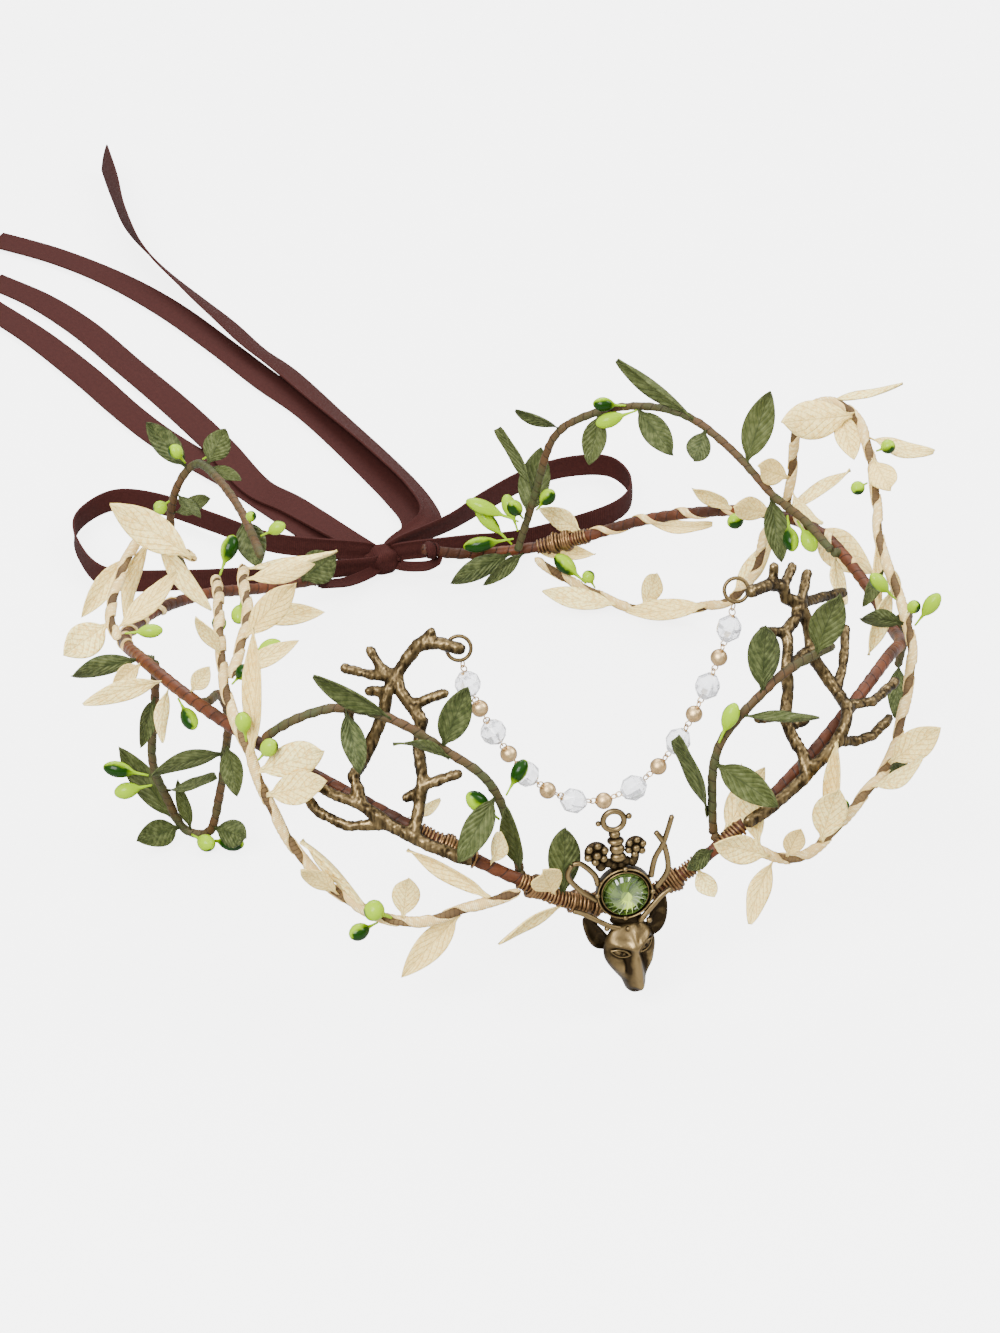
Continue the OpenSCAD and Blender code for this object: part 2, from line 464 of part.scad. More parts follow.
// Turns a child from the Z axis to the direction d
module point_along(d) rotate([0, acos(d[2] / norm(d)), atan2(d[1], d[0])]) children();
module crystal(k) color(glass) translate(chain_place(k)) point_along(chain_heading(k)) skin(
    [for (level = [-1, -crystal_flat, crystal_flat, 1])
        let (r = abs(level) == 1 ? crystal_d * crystal_neck : crystal_d / 2)
            [for (j = [0:crystal_sides - 1]) let (turn = 360 * j / crystal_sides)
                [r * cos(turn), r * sin(turn), level * crystal_half]]]);
module gold_bead(k) color(gold) translate(chain_place(k)) sphere(d = gold_bead_d, $fn = 24);
eye_gap = 0.15;
eye_d = 1.2;
module eye(a, b, a_half, b_half) {
    d = unit(b - a);
    translate(a + d * (a_half + eye_gap)) point_along(d)
        cylinder(d = eye_d, h = norm(b - a) - a_half - b_half - 2 * eye_gap, $fn = 16);
}
module chain_eyes() color(gold) {
    eye(chain_start, chain_place(1), 0, bead_half(1));
    for (k = [1:chain_items - 1]) eye(chain_place(k), chain_place(k + 1), bead_half(k), bead_half(k + 1));
    eye(chain_place(chain_items), chain_end, bead_half(chain_items), 0);
}
module jump_ring(place) color(bronze) translate(polar(place)) rotate([ring_tilt, 0, -ring_turn])
    rotate_extrude($fn = 32) translate([ring_mean_r, 0]) circle(d = ring_wire, $fn = 16);

// Deer head pendant, drawn in its own plane: x to the right, y up, z towards the front
pendant_place = [-5, -97.4, 30.3];
gem_clear = 0.2;
gem_seat = 1.2;
module on_pendant() translate(pendant_place) rotate([0, 0, -pendant_turn])
    rotate([90 - pendant_lean, 0, 0]) children();
module ball(x, y, z, d, n = 8) translate([x, y, z]) sphere(d = d, $fn = n);
module wire(points, d) for (i = [0:len(points) - 2]) hull() {
    translate(points[i]) sphere(d = d, $fn = 6);
    translate(points[i + 1]) sphere(d = d, $fn = 6);
}
charm_left_wires = [[[-6, 2, 0], [-7, 5, 0], [-10, 8, 0], [-12, 8, 0]],
    [[-6, -2, 0], [-10, 1, 0], [-13, 5, 0], [-12, 8, 0]], [[-1, -9, 0], [-9, -5, 0], [-12, -4, 0]]];
charm_right_wires = [[[6, 3, 0], [7, 8, 0], [9, 12, 0], [11, 19, 0]], [[7, 0, 0], [10, 5, 0], [9, 12, 0]],
    [[9, 12, 0], [7, 15, 0]], [[3, -8, 0], [8, -2, 0], [11, 0, 0]]];
charm_wire_d = 1.2;
rim_balls = 10;
rim_ball_d = 1.3;
rim_ball_z = 0.8;
charm_ring_place = [-2.5, 18.5, 0];
charm_ring_r = 2.4;
charm_ring_wire = 1.5;

// Rosettes of five petals: x, y, diameter of the heart, diameter of a petal
rosettes = [[-6.8, 10, 2.6, 2], [3, 11, 2.6, 1.9]];
petal_r = 1.7;
petal_z = 0.3;

// Balls of the charm, each x, y, z and diameter; the balls of one row are joined by their hull
charm_lumps = [
    [[-6, 18, 0, 1.4]], [[1, 19.4, 0, 1.6]],
    [[-2.2, 15, 0, 2.2], [-1.8, 13, 0, 3]],
    [[-1.6, 11.6, 0, 2.4], [-1, 7, -0.6, 2.6]],
    [[-6.6, 9.6, 0, 2], [2.8, 10.6, 0, 2], [-1, 7, -0.2, 2]]];
deer_head = [
    [[0.6, -8, -0.4, 6], [-1.6, -15, 0, 6.5], [4.6, -14, 0, 6]],
    [[-1.4, -16, 0.3, 5.5], [4.2, -15, 0.3, 5], [2, -24, 1.6, 4]],
    [[1, -11, 2, 3], [2.2, -24.3, 3, 3]]];
deer_ears = [
    [[-8, -8, -0.6, 2], [-7, -12, -0.6, 3], [-3.4, -14, -0.6, 3], [-3, -9, -0.6, 2]],
    [[9, -3, -0.6, 2], [8.6, -8, -0.6, 2.6], [6.4, -12, -0.6, 2.6], [5, -6, -0.6, 2]]];
module lump(row, n) hull() for (b = row) ball(b[0], b[1], b[2], b[3], n);
module deer_pendant() color(bronze) on_pendant() {
    translate([0, 0, -bezel_h / 2]) difference() {
        cylinder(d = bezel_d, h = bezel_h, $fn = 40);
        translate([0, 0, gem_seat]) cylinder(d = gem_d + 2 * gem_clear, h = bezel_h, $fn = 40);
    }
    for (k = [0:rim_balls - 1]) let (turn = 360 / rim_balls * (k + 1 / 3))
        ball(bezel_d / 2 * cos(turn), bezel_d / 2 * sin(turn), rim_ball_z, rim_ball_d, 6);
    translate(charm_ring_place) rotate_extrude($fn = 20) translate([charm_ring_r, 0])
        circle(d = charm_ring_wire, $fn = 8);
    for (q = rosettes) {
        ball(q[0], q[1], 0, q[2]);
        for (k = [0:4]) ball(q[0] + petal_r * cos(72 * k), q[1] + petal_r * sin(72 * k), petal_z, q[3], 6);
    }
    for (row = charm_lumps) lump(row, 8);
    for (row = deer_head) lump(row, 12);
    for (row = deer_ears) lump(row, 6);
    for (w = concat(charm_left_wires, charm_right_wires)) wire(w, charm_wire_d);
}
gem_edge_h = 1;
gem_dome_h = 1.8;
gem_table = 0.55;
gem_lift = 0.1;
module pendant_gem() color(gem_green) on_pendant() translate([0, 0, gem_seat - bezel_h / 2 + gem_lift]) {
    cylinder(d = gem_d, h = gem_edge_h, $fn = 40);
    translate([0, 0, gem_edge_h]) cylinder(d1 = gem_d, d2 = gem_d * gem_table, h = gem_dome_h, $fn = 40);
}

// Ribbon bow: the knot, and the hitches that hold it to the ends of the hoop
module loop(route) color(ribbon_brown) strip(route, loop_w, ribbon_t);
module tail(route) color(ribbon_brown) strip(route, ribbon_w, ribbon_t, tail_gather);
knot_place = [-3, 104, 4.6];
knot_half = 2.2;
knot_squash = [0.7, 0.7, 1];
knot_d = 8.6;
module ribbon_knot() color(ribbon_brown) hull() for (side = [-1, 1])
    translate(knot_place + [side * knot_half, 0, 0]) scale(knot_squash) sphere(d = knot_d, $fn = 16);
hitch_wall = 1;
hitch_w = 3.5;
hitch_in = 0.5;
hitch_l = 4.5;
module hitch(first, last, route) color(ribbon_brown) {
    p = smooth(around(hoop_route), 3);
    s = lengths(p);
    sleeve([for (k = [0:3]) place_at(p, s, mix(first, last, k / 3))],
        hoop_r + hitch_gap, hoop_r + hitch_gap + hitch_wall);
    strip(route, hitch_w, ribbon_t);
}
hitch_left_route = [[-24, 93, 7, 0], [-15, 97, 4, 20], [-7, 101, 3, 40]];
hitch_right_route = [[10, 92, 9, -30], [7, 96, 6, 0], [3, 101, 3, 30]];
hoop_length = lengths(smooth(around(hoop_route), 3))[3 * (len(hoop_route) - 1)];
module hitch_right() hitch(hoop_length - hitch_in - hitch_l, hoop_length - hitch_in, hitch_right_route);

hoop();
hoop_wire();
cord(garland_left_route, garland_r);  // garland_cord_left
garland_cord_side();
cord(garland_right_route, garland_r);  // garland_cord_right
cord(garland_back_route, garland_r);  // garland_cord_back
gold_leaves_left();
gold_leaves_front();
gold_leaves_right();
gold_leaves_back();
vine(vine_back_route);  // vine_back
vine(vine_front_left_route);  // vine_front_left
vine(vine_front_right_route);  // vine_front_right
vine(vine_left_top_route);  // vine_left_top
vine(vine_left_low_route);  // vine_left_low
vine(vine_right_route);  // vine_right
green_leaves_back();
green_leaves_front_left();
green_leaves_front_right();
green_leaves_left_top();
green_leaves_left_low();
green_leaves_right();
buds_left();
buds_front();
buds_back();
buds_right();
antler(antler_left_branches, antler_left_prongs);  // antler_left
antler(antler_right_branches, antler_right_prongs);  // antler_right
jump_ring(ring_left_place);  // jump_ring_left
jump_ring(ring_right_place);  // jump_ring_right
chain_eyes();
crystal(1);  // crystal_1
crystal(3);  // crystal_2
crystal(5);  // crystal_3
crystal(7);  // crystal_4
crystal(9);  // crystal_5
crystal(11);  // crystal_6
crystal(13);  // crystal_7
crystal(15);  // crystal_8
gold_bead(2);  // gold_bead_1
gold_bead(4);  // gold_bead_2
gold_bead(6);  // gold_bead_3
gold_bead(8);  // gold_bead_4
gold_bead(10);  // gold_bead_5
gold_bead(12);  // gold_bead_6
gold_bead(14);  // gold_bead_7
deer_pendant();
pendant_gem();
ribbon_knot();
hitch(hitch_in, hitch_in + hitch_l, hitch_left_route);  // ribbon_hitch_left
hitch_right();  // ribbon_hitch_right
loop(loop_left_route);  // ribbon_loop_left
loop(loop_right_route);  // ribbon_loop_right
tail(tail_1_route);  // ribbon_tail_1
tail(tail_2_route);  // ribbon_tail_2
tail(tail_3_route);  // ribbon_tail_3
tail(tail_4_route);  // ribbon_tail_4
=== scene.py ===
import math

import bpy
from mathutils import Matrix, Vector, noise


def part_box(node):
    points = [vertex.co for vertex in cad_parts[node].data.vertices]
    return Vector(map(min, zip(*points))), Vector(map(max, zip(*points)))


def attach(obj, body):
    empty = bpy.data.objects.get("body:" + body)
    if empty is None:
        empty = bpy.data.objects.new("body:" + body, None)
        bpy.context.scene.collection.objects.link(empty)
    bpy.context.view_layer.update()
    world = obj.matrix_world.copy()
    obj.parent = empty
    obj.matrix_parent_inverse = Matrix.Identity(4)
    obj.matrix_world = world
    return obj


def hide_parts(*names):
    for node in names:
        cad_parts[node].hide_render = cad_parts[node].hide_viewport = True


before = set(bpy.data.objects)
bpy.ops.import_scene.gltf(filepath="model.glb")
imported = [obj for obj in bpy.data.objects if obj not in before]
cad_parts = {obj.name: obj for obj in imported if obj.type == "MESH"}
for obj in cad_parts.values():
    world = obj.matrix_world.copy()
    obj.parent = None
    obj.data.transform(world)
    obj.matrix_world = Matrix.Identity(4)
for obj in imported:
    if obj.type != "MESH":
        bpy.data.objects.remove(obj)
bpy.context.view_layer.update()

mm = 0.001


# Camera: a product shot from the front left of the crown, well above it and from
# about a metre away, so that the hoop is seen as an open ring.
def new_object(name, data):
    obj = bpy.data.objects.new(name, data)
    bpy.context.scene.collection.objects.link(obj)
    return obj


def look(obj, eye, aim):
    """Puts a camera or a light at the eye, facing the aim."""
    obj.location = eye
    obj.rotation_euler = (Vector(aim) - Vector(eye)).to_track_quat("-Z", "Y").to_euler()


camera_data = bpy.data.cameras.new("photo_camera")
camera_data.sensor_width = 36
camera_data.lens = 107
camera_data.clip_start = 0.05
camera = new_object("photo_camera", camera_data)
look(camera, Vector((-259.8, -789.9, 551.4)) * mm, Vector((2.26, 16.65, 21.46)) * mm)
bpy.context.scene.camera = camera

# Ribbon tails: flat woven ribbon, 10 mm wide, matte red-brown. Four free ends run from
# the bow's knot along the surface, three of them past the photograph's left edge.
ribbon_wide = 10
ribbon_thick = 0.55
ribbon_edge = 0.16
gather_steps = 28
pleat_deep = 0.9


def through(points, steps):
    """Smooth curve through the points, with the same number of steps between them all."""
    found = []
    last = len(points) - 1
    for i in range(last):
        a, b, c, d = (Vector(points[min(max(k, 0), last)]) for k in (i - 1, i, i + 1, i + 2))
        for j in range(steps):
            t = j / steps
            found.append((2 * b + (c - a) * t + (2 * a - 5 * b + 4 * c - d) * t ** 2
                          + (3 * b - a - 3 * c + d) * t ** 3) / 2)
    return found + [Vector(points[last])]


def headings(path):
    last = len(path) - 1
    return [(path[min(i + 1, last)] - path[max(i - 1, 0)]).normalized() for i in range(last + 1)]


def length_of(path):
    return sum((b - a).length for a, b in zip(path, path[1:]))


def square_to(v, t):
    return (v - t * v.dot(t)).normalized()


def piece(name, node_names, finish):
    """The active object becomes a finished piece of the crown."""
    obj = bpy.context.object
    obj.name = name
    bpy.ops.object.transform_apply(location=True, rotation=True, scale=True)
    obj.data.materials.clear()
    obj.data.materials.append(finish)
    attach(obj, "root")
    if node_names:
        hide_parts(*node_names)
    obj.select_set(False)
    return obj


def grid(across, along):
    """A flat grid as the active object, whose corners have shares from 0 to 1 as places."""
    bpy.ops.mesh.primitive_grid_add(x_subdivisions=across, y_subdivisions=along, size=1,
                                    location=(0, 0, 0))
    mesh = bpy.context.object.data
    for v in mesh.vertices:
        v.co += Vector((0.5, 0.5, 0))
    return mesh


def modify(kind, **settings):
    """Adds a modifier to the active object and applies it."""
    m = bpy.context.object.modifiers.new(kind.lower(), kind)
    for key, value in settings.items():
        setattr(m, key, value)
    bpy.ops.object.modifier_apply(modifier=m.name)


def stretch_uv(mesh, across, along):
    for corner in mesh.uv_layers.active.data:
        corner.uv = (corner.uv[0] * across, corner.uv[1] * along)


def lay_ribbon(route, wide, thick, cup, first=1.0, last=1.0):
    """Ribbon along a route of x, y, height and turn. It bends across by cup, and its ends
    are gathered to the first and the last share of its width."""
    q = through(route, 8)
    path = [Vector(p[:3]) for p in q]
    t = headings(path)
    end = len(path) - 1
    mesh = grid(8, end)
    for v in mesh.vertices:
        i = round(v.co.y * end)
        side = v.co.x - 0.5
        flat = square_to(Vector((t[i].y, -t[i].x, 0)), t[i])
        top = flat.cross(t[i])
        turn = math.radians(q[i][3])
        a = flat * math.cos(turn) + top * math.sin(turn)
        b = top * math.cos(turn) - flat * math.sin(turn)
        bend = cup * (4 * side * side - 0.4) * math.sin(i * 0.07 + 1)
        ripple = 0.1 * math.sin(i * 0.31) * math.sin(math.pi * side)
        gather = min(share + (1 - share) * min(1, k / gather_steps) ** 0.8
                     for k, share in ((i, first), (end - i, last)))
        pleat = pleat_deep * (1 - gather) * math.cos(side * 3 * math.pi)
        v.co = (path[i] + a * side * gather * (wide - thick)
                + b * (bend * gather + ripple + pleat)) * mm
    stretch_uv(mesh, wide, length_of(path))
    bpy.ops.object.shade_smooth()
    modify("SOLIDIFY", thickness=thick * mm, offset=0)
    modify("BEVEL", width=ribbon_edge * mm, segments=2, limit_method="ANGLE",
           angle_limit=math.radians(60))
    return path


def new_group(name, defaults, outputs):
    """A shader node group of numbers: its tree, what it is given and what it puts out."""
    tree = bpy.data.node_groups.new(name, "ShaderNodeTree")
    for label, value in defaults.items():
        tree.interface.new_socket(name=label, in_out="INPUT",
                                  socket_type="NodeSocketFloat").default_value = value
    for label in outputs:
        tree.interface.new_socket(name=label, in_out="OUTPUT", socket_type="NodeSocketFloat")
    return tree, tree.nodes.new("NodeGroupInput").outputs, tree.nodes.new("NodeGroupOutput").inputs


def feed(socket, value):
    """Links the socket to another node's output, or sets it to a plain value."""
    if isinstance(value, bpy.types.NodeSocket):
        socket.id_data.links.new(value, socket)
    else:
        socket.default_value = value


def put_out(sockets, *values):
    for socket, value in zip(sockets, values):
        feed(socket, value)


def add(tree, kind, links=(), **settings):
    """A node of that kind. Links are (input, value or output socket)."""
    n = tree.nodes.new("ShaderNode" + kind)
    for key, value in settings.items():
        setattr(n, key, value)
    for where, value in links:
        feed(n.inputs[where], value)
    return n


def maths(operation, a, b=0.0):
    return add(a.id_data, "Math", [(0, a), (1, b)], operation=operation).outputs[0]


def times(a, b):
    return maths("MULTIPLY", a, b)


def plus(a, b):
    return maths("ADD", a, b)


def xyz(value):
    return add(value.id_data, "SeparateXYZ", [(0, value)]).outputs


def clouds(place, scale, detail=2.0, rough=0.5):
    """Noise from 0 to 1 at that place."""
    return add(place.id_data, "TexNoise", [("Vector", place), ("Scale", scale),
                                           ("Detail", detail), ("Roughness", rough)]).outputs[0]


def span(value, low, high, to_low=0.0, to_high=1.0):
    return add(value.id_data, "MapRange", [
        ("Value", value), ("From Min", low), ("From Max", high), ("To Min", to_low),
        ("To Max", to_high)]).outputs[0]


def blend(share, a, b):
    """Colour a where share is 0 and b where it is 1. A colour is red, green and blue."""
    n = add(share.id_data, "Mix", [(0, share)], data_type="RGBA")
    for socket, colour in ((n.inputs[6], a), (n.inputs[7], b)):
        feed(socket, (*colour, 1) if isinstance(colour, tuple) else colour)
    return n.outputs[2]


def on_uv(tree):
    return add(tree, "UVMap").outputs[0]


def on_object(tree):
    return add(tree, "TexCoord").outputs["Object"]


def material(name, **plain):
    """A new material: its tree, and its Principled shader with these plain socket values."""
    m = bpy.data.materials.new(name)
    m.use_nodes = True
    shader = m.node_tree.nodes["Principled BSDF"]
    for key, value in plain.items():
        shader.inputs[key.replace("_", " ")].default_value = value
    return m, m.node_tree, shader


def paint(shader, colour):
    feed(shader.inputs["Base Color"], colour)


def bump(shader, height, depth):
    """Height from 0 to 1 becomes depth, in metres, on the shader's normal."""
    n = add(shader.id_data, "Bump", [("Height", height), ("Distance", depth), ("Strength", 1.0)])
    feed(shader.inputs["Normal"], n.outputs[0])


def group_of(tree, group, **values):
    n = add(tree, "Group", node_tree=group)
    for key, value in values.items():
        feed(n.inputs[key.replace("_", " ")], value)
    return n.outputs


# Weave: threads crossing at right angles on the piece's own UV map, which is in
# millimetres. It puts out the height of the threads and a slow unevenness of the dye.
weave, given, results = new_group("weave", {"Threads per mm": 3.0, "Ribs per mm": 3.0},
                                  ["Height", "Unevenness"])
uv = on_uv(weave)
warp, weft = (maths("SINE", times(xyz(uv)[k], times(given[k], 6.283))) for k in (0, 1))
threads = span(plus(times(warp, 0.35), weft), -1.35, 1.35)
put_out(results, threads, clouds(uv, 0.9, 4.0))

ribbon_cloth, tree, shader = material("ribbon_cloth", Roughness=0.8, Specular_IOR_Level=0.1)
height, slub = group_of(tree, weave, Threads_per_mm=2.0, Ribs_per_mm=2.6)
dye = blend(span(slub, 0.3, 0.7), (0.03, 0.007, 0.0055), (0.044, 0.011, 0.0085))
paint(shader, blend(height, (0.026, 0.006, 0.005), dye))
bump(shader, height, 0.00006)

tails = [
    (0.255, [(-1, 107, 4, 0), (1, 110, 3, 0), (12, 123, 2, 0), (13, 142, 1, 0), (9, 169, 1, 0),
             (3, 199, 1, 0), (-4, 221, 1, 0), (-11, 246, 1, 0), (-20, 275, 1, 0),
             (-31, 300, 1, 0), (-45, 322, 1, 0), (-61, 340, 1, 0)]),
    (0.285, [(0.5, 107, 5.5, -10), (3, 111, 5, -10), (16, 122, 4, -35), (18, 139, 3.5, -40),
             (14, 165, 3.5, -34), (8, 195, 3, -28), (2, 223, 3, -24), (-3, 240, 3, -26),
             (-7, 258, 3.5, -30), (-12, 278, 4, -38), (-18, 303, 5, -52), (-20, 332, 5.5, -86),
             (-18, 357, 5.5, -100), (-16, 380, 5.5, -104)]),
    (0.217, [(-4, 107.2, 4.5, 0), (-4, 110, 4, 0), (-9, 124, 3, 0), (-17, 145, 2, 0),
             (-24, 159, 2, 0), (-28, 185, 2, 0), (-34, 215, 1.5, 0), (-41, 244, 1, 0),
             (-48, 271, 1, 0), (-57, 294, 1, 0), (-68, 312, 1, 0)]),
    (0.201, [(-5.5, 107, 3, 0), (-8, 110, 2, 0), (-14, 124, 1, 0), (-20, 143, 0.8, 0),
             (-26, 160, 0.8, 0), (-34, 178, 0.8, 0), (-42, 197, 0.8, 0), (-48, 216, 1, 0),
             (-54, 240, 1, 0), (-63, 270, 1, 0), (-73, 295, 1, 0)])]
for k, (real, route) in enumerate(tails, 1):
    path = lay_ribbon(route, ribbon_wide, ribbon_thick, 0.35, first=0.4)
    tail = piece(f"ribbon_tail_{k}_cloth", [f"ribbon_tail_{k}"], ribbon_cloth)

# Bow: two loops of the same ribbon, folded along its length to stand 7 mm high, and the
# knot pulled tight between them with its folds running into the loops.
loop_high = 7
loops = {
    "left": [(-5.5, 105.4, 6.6, 80), (-8, 107, 7, 80), (-28, 121, 5, 85), (-41, 139, 4, 90),
             (-53, 154, 4, 90), (-65, 160, 4, 90), (-77, 151, 4, 90), (-80, 136, 4, 90),
             (-76, 119, 4, 90), (-58, 112, 4, 90), (-34, 107, 4, 90), (-8, 102, 5, 80),
             (-5.5, 103.6, 5, 80)],
    "right": [(0.2, 105.2, 7, 80), (3, 106, 8, 80), (19, 114, 7, 85), (32, 125, 5, 90),
              (49, 136, 4, 90), (63, 139, 4, 90), (74, 135, 4, 90), (75, 121, 4, 90),
              (65, 110, 4, 90), (38, 104, 4, 90), (20, 103, 6, 90), (3, 103, 7, 80),
              (0.2, 103.6, 6.2, 80)]}
for side, route in loops.items():
    lay_ribbon(route, loop_high, ribbon_thick, 0.25, 0.7, 0.7)
    piece(f"ribbon_loop_{side}_cloth", [f"ribbon_loop_{side}"], ribbon_cloth)

knot_middle = Vector((-3, 104.2, 4.6))
knot_half = Vector((5.6, 3.5, 4.4))
bpy.ops.mesh.primitive_uv_sphere_add(segments=64, ring_count=32, radius=1,
                                     rotation=(0, math.pi / 2, 0))
bpy.ops.object.transform_apply(rotation=True)
for v in bpy.context.object.data.vertices:
    around = math.atan2(v.co.z, v.co.y)
    fold = 1 + 0.07 * math.cos(5 * around + 2.5 * v.co.x)
    fold -= 0.1 * max(0.0, math.cos(around * 2 - 1.2)) ** 6
    fold *= 1 - 0.28 * math.exp(-((abs(v.co.x) - 0.72) / 0.16) ** 2)
    v.co = (knot_middle + Vector((v.co.x * knot_half.x + 0.3, v.co.y * knot_half.y * fold,
                                  v.co.z * knot_half.z * fold - 0.5 * v.co.x))) * mm
stretch_uv(bpy.context.object.data, 26, 12)
bpy.ops.object.shade_smooth()
piece("ribbon_knot_cloth", ["ribbon_knot"], ribbon_cloth)

# Hoop: a bundle of paper-covered wires wrapped in a narrow red-brown strip, 3 mm thick
# and bent to a low wave. Its two ends turn up at the back, where the ribbon is hitched.
hoop_radius = 1.5
hoop_step = 0.5
hoop_turn = 3.4


def crown_path(route):
    """Smooth curve on the crown through points of angle from the front, radius and height."""
    return through([(r * math.sin(math.radians(a)), -r * math.cos(math.radians(a)), z)
                    for a, r, z in route], 6)


def even(path, step):
    """The same curve in steps of one length."""
    found, left = [path[0]], step
    for a, b in zip(path, path[1:]):
        d = (b - a).length
        while d >= left:
            a = a + (b - a).normalized() * left
            found.append(a)
            d, left = (b - a).length, step
        left -= d
    return found


def sides_of(path):
    """Two directions square to the curve at each of its points, which don't twist about it."""
    t = headings(path)
    u = [square_to(Vector((0, 0, 1)) if abs(t[0].z) < 0.9 else Vector((1, 0, 0)), t[0])]
    for k in range(1, len(t)):
        u.append(square_to(u[-1], t[k]))
    return u, [a.cross(b) for a, b in zip(t, u)]


def round_path(path, u, v, i, r, angle):
    """The place at that angle and distance round the i-th point of a path, in metres."""
    return (path[i] + u[i] * r * math.cos(angle) + v[i] * r * math.sin(angle)) * mm


def weld(threshold=0.000005):
    """Closes the seams and poles of the active mesh."""
    bpy.ops.object.mode_set(mode="EDIT")
    bpy.ops.mesh.select_all(action="SELECT")
    bpy.ops.mesh.remove_doubles(threshold=threshold)
    bpy.ops.mesh.normals_make_consistent(inside=False)
    bpy.ops.object.mode_set(mode="OBJECT")
    bpy.ops.object.shade_smooth()


def roll(path, radius, around):
    """A closed round cord. Its radius is a function of the share of its length and the angle."""
    u, v = sides_of(path)
    last = len(path) - 1
    mesh = grid(around, last)
    for p in mesh.vertices:
        i = round(p.co.y * last)
        angle = p.co.x * 2 * math.pi
        r = 0.0 if i in (0, last) else radius(i / last, angle)
        p.co = round_path(path, u, v, i, r, angle)
    stretch_uv(mesh, 1, length_of(path))
    weld()
    return bpy.context.object


def rounded_ends(s, run, r, over):
    """Radius that closes to nothing over the last millimetres at both ends."""
    near = min(s, 1 - s) * run
    return r * math.sqrt(max(0.0, 1 - (1 - min(near / over, 1)) ** 2))


def wound(path, radius, pitch, share, thick, start=0.0, over=1.2):
    """A band wound round the path: pitch is the length of one turn, share the part covered."""
    u, v = sides_of(path)
    last = len(path) - 1
    step = (path[1] - path[0]).length
    mesh = grid(6, last)
    for p in mesh.vertices:
        i = round(p.co.y * last)
        side = p.co.x - 0.5
        wide = share * (1 + 0.16 * math.sin(i * 0.37 + start) + 0.1 * math.sin(i * 0.91))
        r = rounded_ends(i / last, last * step, radius, over) + 0.12 * math.cos(side * math.pi)
        p.co = round_path(path, u, v, i, r,
                          start + 2 * math.pi * (i * step / pitch + side * wide))
    stretch_uv(mesh, pitch * share, last * step)
    bpy.ops.object.shade_smooth()
    modify("SOLIDIFY", thickness=thick * mm, offset=0)
    return bpy.context.object


def wrapped(run, r, turn, ridge, over=1.2):
    """Radius of a cord wrapped in a strip: each turn overlaps the last one in a low step."""
    def radius(s, angle):
        phase = (s * run / turn + angle / (2 * math.pi)) % 1
        return rounded_ends(s, run, r, over) * (
            1 + ridge * (phase - 0.5) + ridge * 0.5 * math.sin(s * run * 1.7))
    return radius


fibre, given, results = new_group("wrapped_strip", {"Turn mm": 2.6}, ["Height", "Patches", "Edge"])
round_it, along, _ = xyz(on_uv(fibre))
turns = maths("FRACT", plus(maths("DIVIDE", along, given[0]), round_it))
edge = span(turns, 0.0, 0.14)
place = add(fibre, "CombineXYZ", [(0, times(round_it, 9.0)), (1, times(along, 0.5))]).outputs[0]
strands = times(clouds(place, 2.0, 5.0), 0.5)
put_out(results, plus(strands, times(edge, 0.5)), clouds(on_object(fibre), 90.0, 3.0), edge)


def wrapped_material(name, light, dark, seam, turn, **plain):
    """Paper or cane strip wound on a cord, in two tones with a darker overlap line."""
    m, tree, shader = material(name, **plain)
    height, patches, edge = group_of(tree, fibre, Turn_mm=turn)
    tone = blend(span(patches, 0.38, 0.6), light, dark)
    streak = blend(span(height, 0.2, 0.8), dark, tone)
    paint(shader, blend(edge, seam, streak))
    bump(shader, height, 0.0002)
    return m


hoop_path = even(crown_path([
    (193, 95, 9), (205, 95, 13), (218, 95, 21), (232, 95, 29), (246, 95, 37), (260, 95, 47),
    (275, 95, 57), (290, 95, 60), (305, 95, 58), (320, 95, 52), (335, 95, 41), (343, 95, 34),
    (350, 94, 27), (0, 93, 24), (12, 95, 35), (25, 95, 46), (38, 95, 54), (52, 95, 55),
    (65, 95, 46), (78, 95, 37), (92, 95, 37), (105, 95, 40), (117, 95, 37), (128, 95, 31),
    (140, 95, 23), (150, 95, 15), (160, 95, 10), (170, 95, 9), (177, 95, 12)]), hoop_step)
rattan = wrapped_material("hoop_wrap", (0.1, 0.028, 0.009), (0.036, 0.011, 0.004),
                          (0.012, 0.004, 0.002), hoop_turn, Roughness=0.5, Specular_IOR_Level=0.2)
roll(hoop_path, wrapped(len(hoop_path) * hoop_step, hoop_radius, hoop_turn, 0.07), 18)
piece("hoop_cord", ["hoop"], rattan)

# Ribbon hitches: the ribbon's tie at each end of the hoop, a turn and a half of narrow
# folded ribbon round the end and a strap to the knot.
hitch_reach = 11
hitch_straps = {
    "left": [(-24, 93, 7, -20), (-15, 97, 4, -35), (-7, 101, 3.4, -40), (-4.5, 103, 4, -30)],
    "right": [(10, 92, 9, 35), (7.5, 96, 5.5, 40), (3, 100.5, 3.6, 40), (-1, 103, 4, 25)]}
for side, route in hitch_straps.items():
    end = hoop_path[1:hitch_reach] if side == "left" else hoop_path[-hitch_reach:-1]
    turns = wound(even(end, 0.25), hoop_radius + 0.55, 3.2, 0.8, 0.5)
    lay_ribbon(route, 3.6, 0.6, 0.3)
    turns.select_set(True)
    bpy.ops.object.join()
    piece(f"ribbon_hitch_{side}_cloth", [f"ribbon_hitch_{side}"], ribbon_cloth)

# Wire bindings: bronze-coloured craft wire wound in uneven turns round the hoop, which
# holds the antlers, the charm and the vines to it. Thinner loose turns lie beside them.
bronze_dark = (0.02, 0.012, 0.004)
bronze_light = (0.21, 0.145, 0.062)

